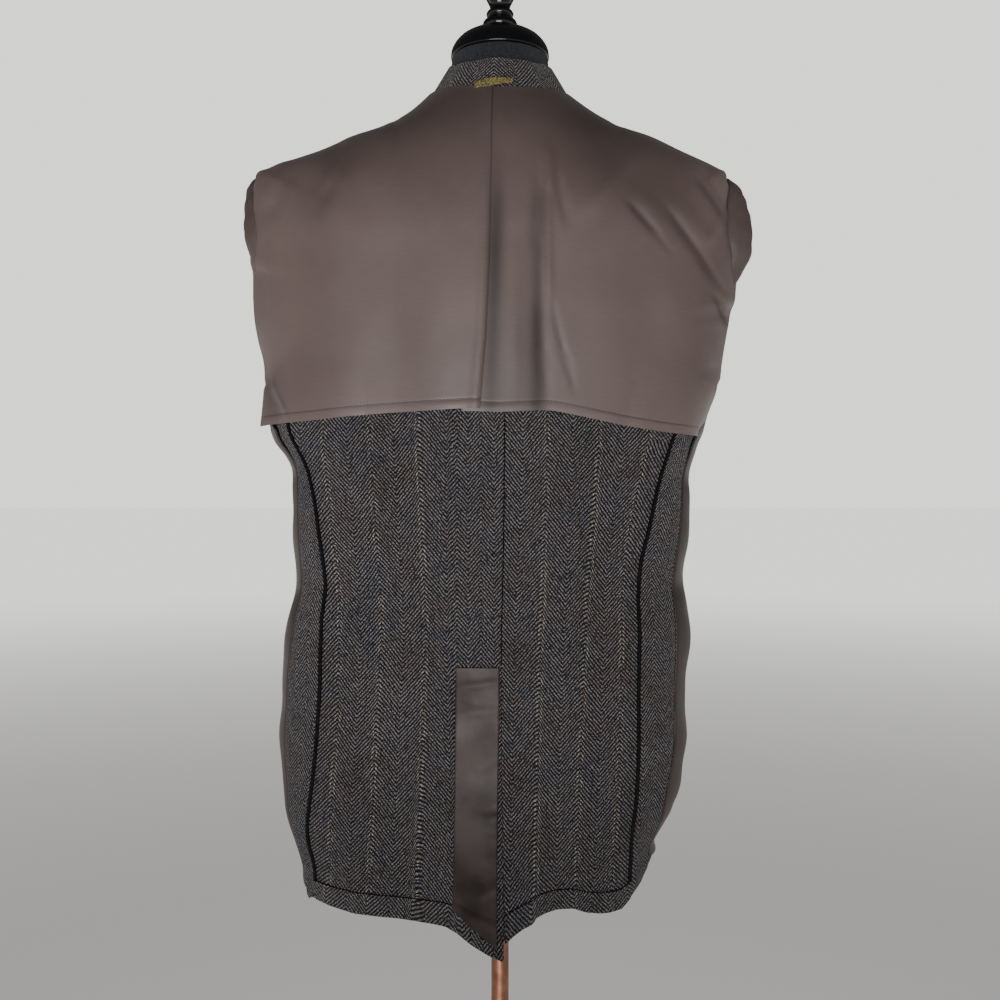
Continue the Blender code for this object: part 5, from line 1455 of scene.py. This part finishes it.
def ringFaces(rows, count):
    # the corner numbers of the rings' points, and of the faces between the rings
    index = np.arange(rows * count).reshape(rows, count)
    turned = np.roll(index, -1, axis=1)
    return index, np.stack([index[:-1], turned[:-1], turned[1:], index[1:]], axis=-1).reshape(-1, 4)


def closedMesh(name, grid, paint, uv, sharp=50.0):
    # rings of points closed round the axis, with a flat face at each end
    index, skin = ringFaces(*grid.shape[:2])
    corners = np.stack([uv[:-1, :-1], uv[:-1, 1:], uv[1:, 1:], uv[1:, :-1]], axis=2).reshape(-1, 2)
    maps = {"weave": [corners, np.zeros((2 * index.shape[1], 2))]}
    return meshFrom(name, grid.reshape(-1, 3), skin, maps, paint, sharp, caps=[index[0][::-1], index[-1]])


def addForm():
    rings = [ownRing(row) for row in formBody[::-1]]
    rings += [shoulderRing(level) for level in (*formValues["shoulders"], coat["neck"] - coat["gap"])]
    rings += [ownRing(row) for row in formNeck[::-1]]
    grid = spread(np.array(rings), 6)
    piece = closedMesh("formTorso", grid, jersey, evenColumns(grid, closed=True, wide=1.0)[0], 60.0)
    finish(piece, ["form_torso"])


capProfile = ((0.0495, 1.5552), (0.0508, 1.5570), (0.0506, 1.5610), (0.0496, 1.5650), (0.0468, 1.5700),
              (0.0418, 1.5755), (0.0352, 1.5797), (0.0330, 1.5806), (0.0262, 1.5826), (0.0182, 1.5842))
finialProfile = (
    (0.0140, 1.5845), (0.0166, 1.5872), (0.0180, 1.5912), (0.0168, 1.5950), (0.0126, 1.5985),
    (0.0136, 1.6008), (0.0141, 1.6032), (0.0128, 1.6056), (0.0104, 1.6078), (0.0109, 1.6115),
    (0.0125, 1.6150), (0.0142, 1.6185), (0.0168, 1.6260), (0.0176, 1.6340), (0.0166, 1.6430),
    (0.0132, 1.6515), (0.0080, 1.6575), (0.0030, 1.6600),
)
flangeProfile = ((0.0300, 0.7480), (0.0320, 0.7500), (0.0320, 0.7580), (0.0300, 0.7597))
poleProfile = ((0.0090, 0.0333), (0.0090, 0.2000), (0.0090, 0.4000), (0.0090, 0.6000), (0.0090, 0.7477))
baseProfile = ((0.1680, 0.0000), (0.1700, 0.0020), (0.1700, 0.0090), (0.1670, 0.0120), (0.1620, 0.0124),
               (0.1480, 0.0127),
               (0.1100, 0.0134), (0.0620, 0.0145), (0.0450, 0.0152),
               (0.0300, 0.0190), (0.0220, 0.0280), (0.0180, 0.0330))


def addStand():
    for name, node, profile, paint, slot, sharp in (
            ("neckCap", "neck_cap", capProfile, lacquer, "black_lacquer", 60.0),
            ("turnedFinial", "finial", finialProfile, lacquer, "black_lacquer", 60.0),
            ("poleFlange", "pole_flange", flangeProfile, blackMetal, "black_metal", 40.0),
            ("copperPole", "pole", poleProfile, copper, "copper_pole", 40.0),
            ("roundBase", "base", baseProfile, blackMetal, "black_metal", 40.0)):
        profile = np.array(profile)
        smoothed = spread(profile[:, None, :], 5)[:, 0]
        turns = np.linspace(0.0, 2.0 * math.pi, 128, endpoint=False)
        radius, height = smoothed[:, :1], smoothed[:, 1:]
        grid = np.stack([radius * np.cos(turns), radius * np.sin(turns), height + 0.0 * turns], axis=-1)
        uv = evenColumns(grid, closed=True, wide=1.0)[0]
        finish(closedMesh(name, grid, paint, uv, sharp), [node])


addBacks()
addCentre()
print("backs ready")
addSidesAndFronts()
print("sides and fronts ready")
addBackLinings()
print("half lining ready")
addSleeves()
addCollar()
addHangerLoop()
addButtons()
print("sleeves and collar ready")
addForm()
addStand()
print("form and stand ready")


# ---- floor and light ----

stageValues = {
    "floor": 160.0, "near": (0.03, 0.03, 0.029), "far": (0.001, 0.001, 0.001), "glowNear": (0.41, 0.403, 0.385),
    "glow": (1.32, 1.32, 1.27), "backdrop": (1.45, 1.45, 1.39), "ambient": (0.08, 0.08, 0.082),
}


def addFloor():
    # a wide pale disc, lighter far away, where it meets the pale surroundings
    turns = np.linspace(0.0, 2.0 * math.pi, 96, endpoint=False)
    radii = np.array((0.0001, 0.5, 1.0, 2.0, 4.0, 8.0, 16.0, 50.0, stageValues["floor"]))[:, None]
    grid = np.stack([radii * np.cos(turns), radii * np.sin(turns), 0.0 * radii * turns - 0.0004], axis=-1)
    paint = Paint("floor", 0.95, Specular_IOR_Level=0.0, Emission_Strength=1.0)
    away = paint.place().make("ShaderNodeVectorMath", {"operation": "LENGTH"}, {0: paint.place()}, "Value")
    grain = paint.noise(2.0, 3.0).between(0.3, 0.7, 0.97, 1.03)
    colour = paint.mix(away.between(0.9, 2.2), stageValues["near"], stageValues["far"])
    paint.set("Base Color", paint.shade(colour, grain))
    paint.set("Emission Color", paint.mix(away.between(1.5, 13.0), stageValues["glowNear"], stageValues["glow"]))
    skin = ringFaces(*grid.shape[:2])[1]
    meshFrom("floor", grid.reshape(-1, 3), skin, {"weave": [np.zeros((skin.size, 2))]}, paint.material)


def areaLight(name, place, aim, size, power, glossy=True):
    data = bpy.data.lights.new(name, "AREA")
    data.shape = "RECTANGLE"
    data.size, data.size_y = size
    data.energy = power
    lamp = bpy.data.objects.new(name, data)
    lamp.location = place
    lamp.visible_glossy = glossy
    lamp.rotation_euler = (Vector(aim) - Vector(place)).to_track_quat("-Z", "Y").to_euler()
    bpy.context.scene.collection.objects.link(lamp)


def addWorld():
    # the surroundings look pale and light the coat only a little, so that the lamps shape it
    world = bpy.data.worlds.new("studio")
    world.use_nodes = True
    tree = world.node_tree
    seen = build(tree, "ShaderNodeLightPath")
    colour = build(tree, "ShaderNodeMix", {"data_type": "RGBA"},
                   {0: seen, 6: stageValues["ambient"], 7: stageValues["backdrop"]}, 2)
    tree.links.new(colour.socket, tree.nodes["Background"].inputs[0])
    bpy.context.scene.world = world


addFloor()
addWorld()
areaLight("mainSoft", (-0.35, -3.0, 0.30), (0.0, 0.0, 1.05), (1.9, 1.1), 108.0)
areaLight("frontSoft", (0.8, 5.0, 1.5), (0.0, 0.0, 1.00), (2.4, 1.4), 480.0, glossy=False)
areaLight("leftSoft", (-3.4, 1.2, 1.3), (0.0, 0.0, 1.05), (1.4, 1.4), 52.0, glossy=False)
areaLight("rightSoft", (3.4, 1.2, 1.3), (0.0, 0.0, 1.05), (1.4, 1.4), 58.0, glossy=False)
print("stage ready")
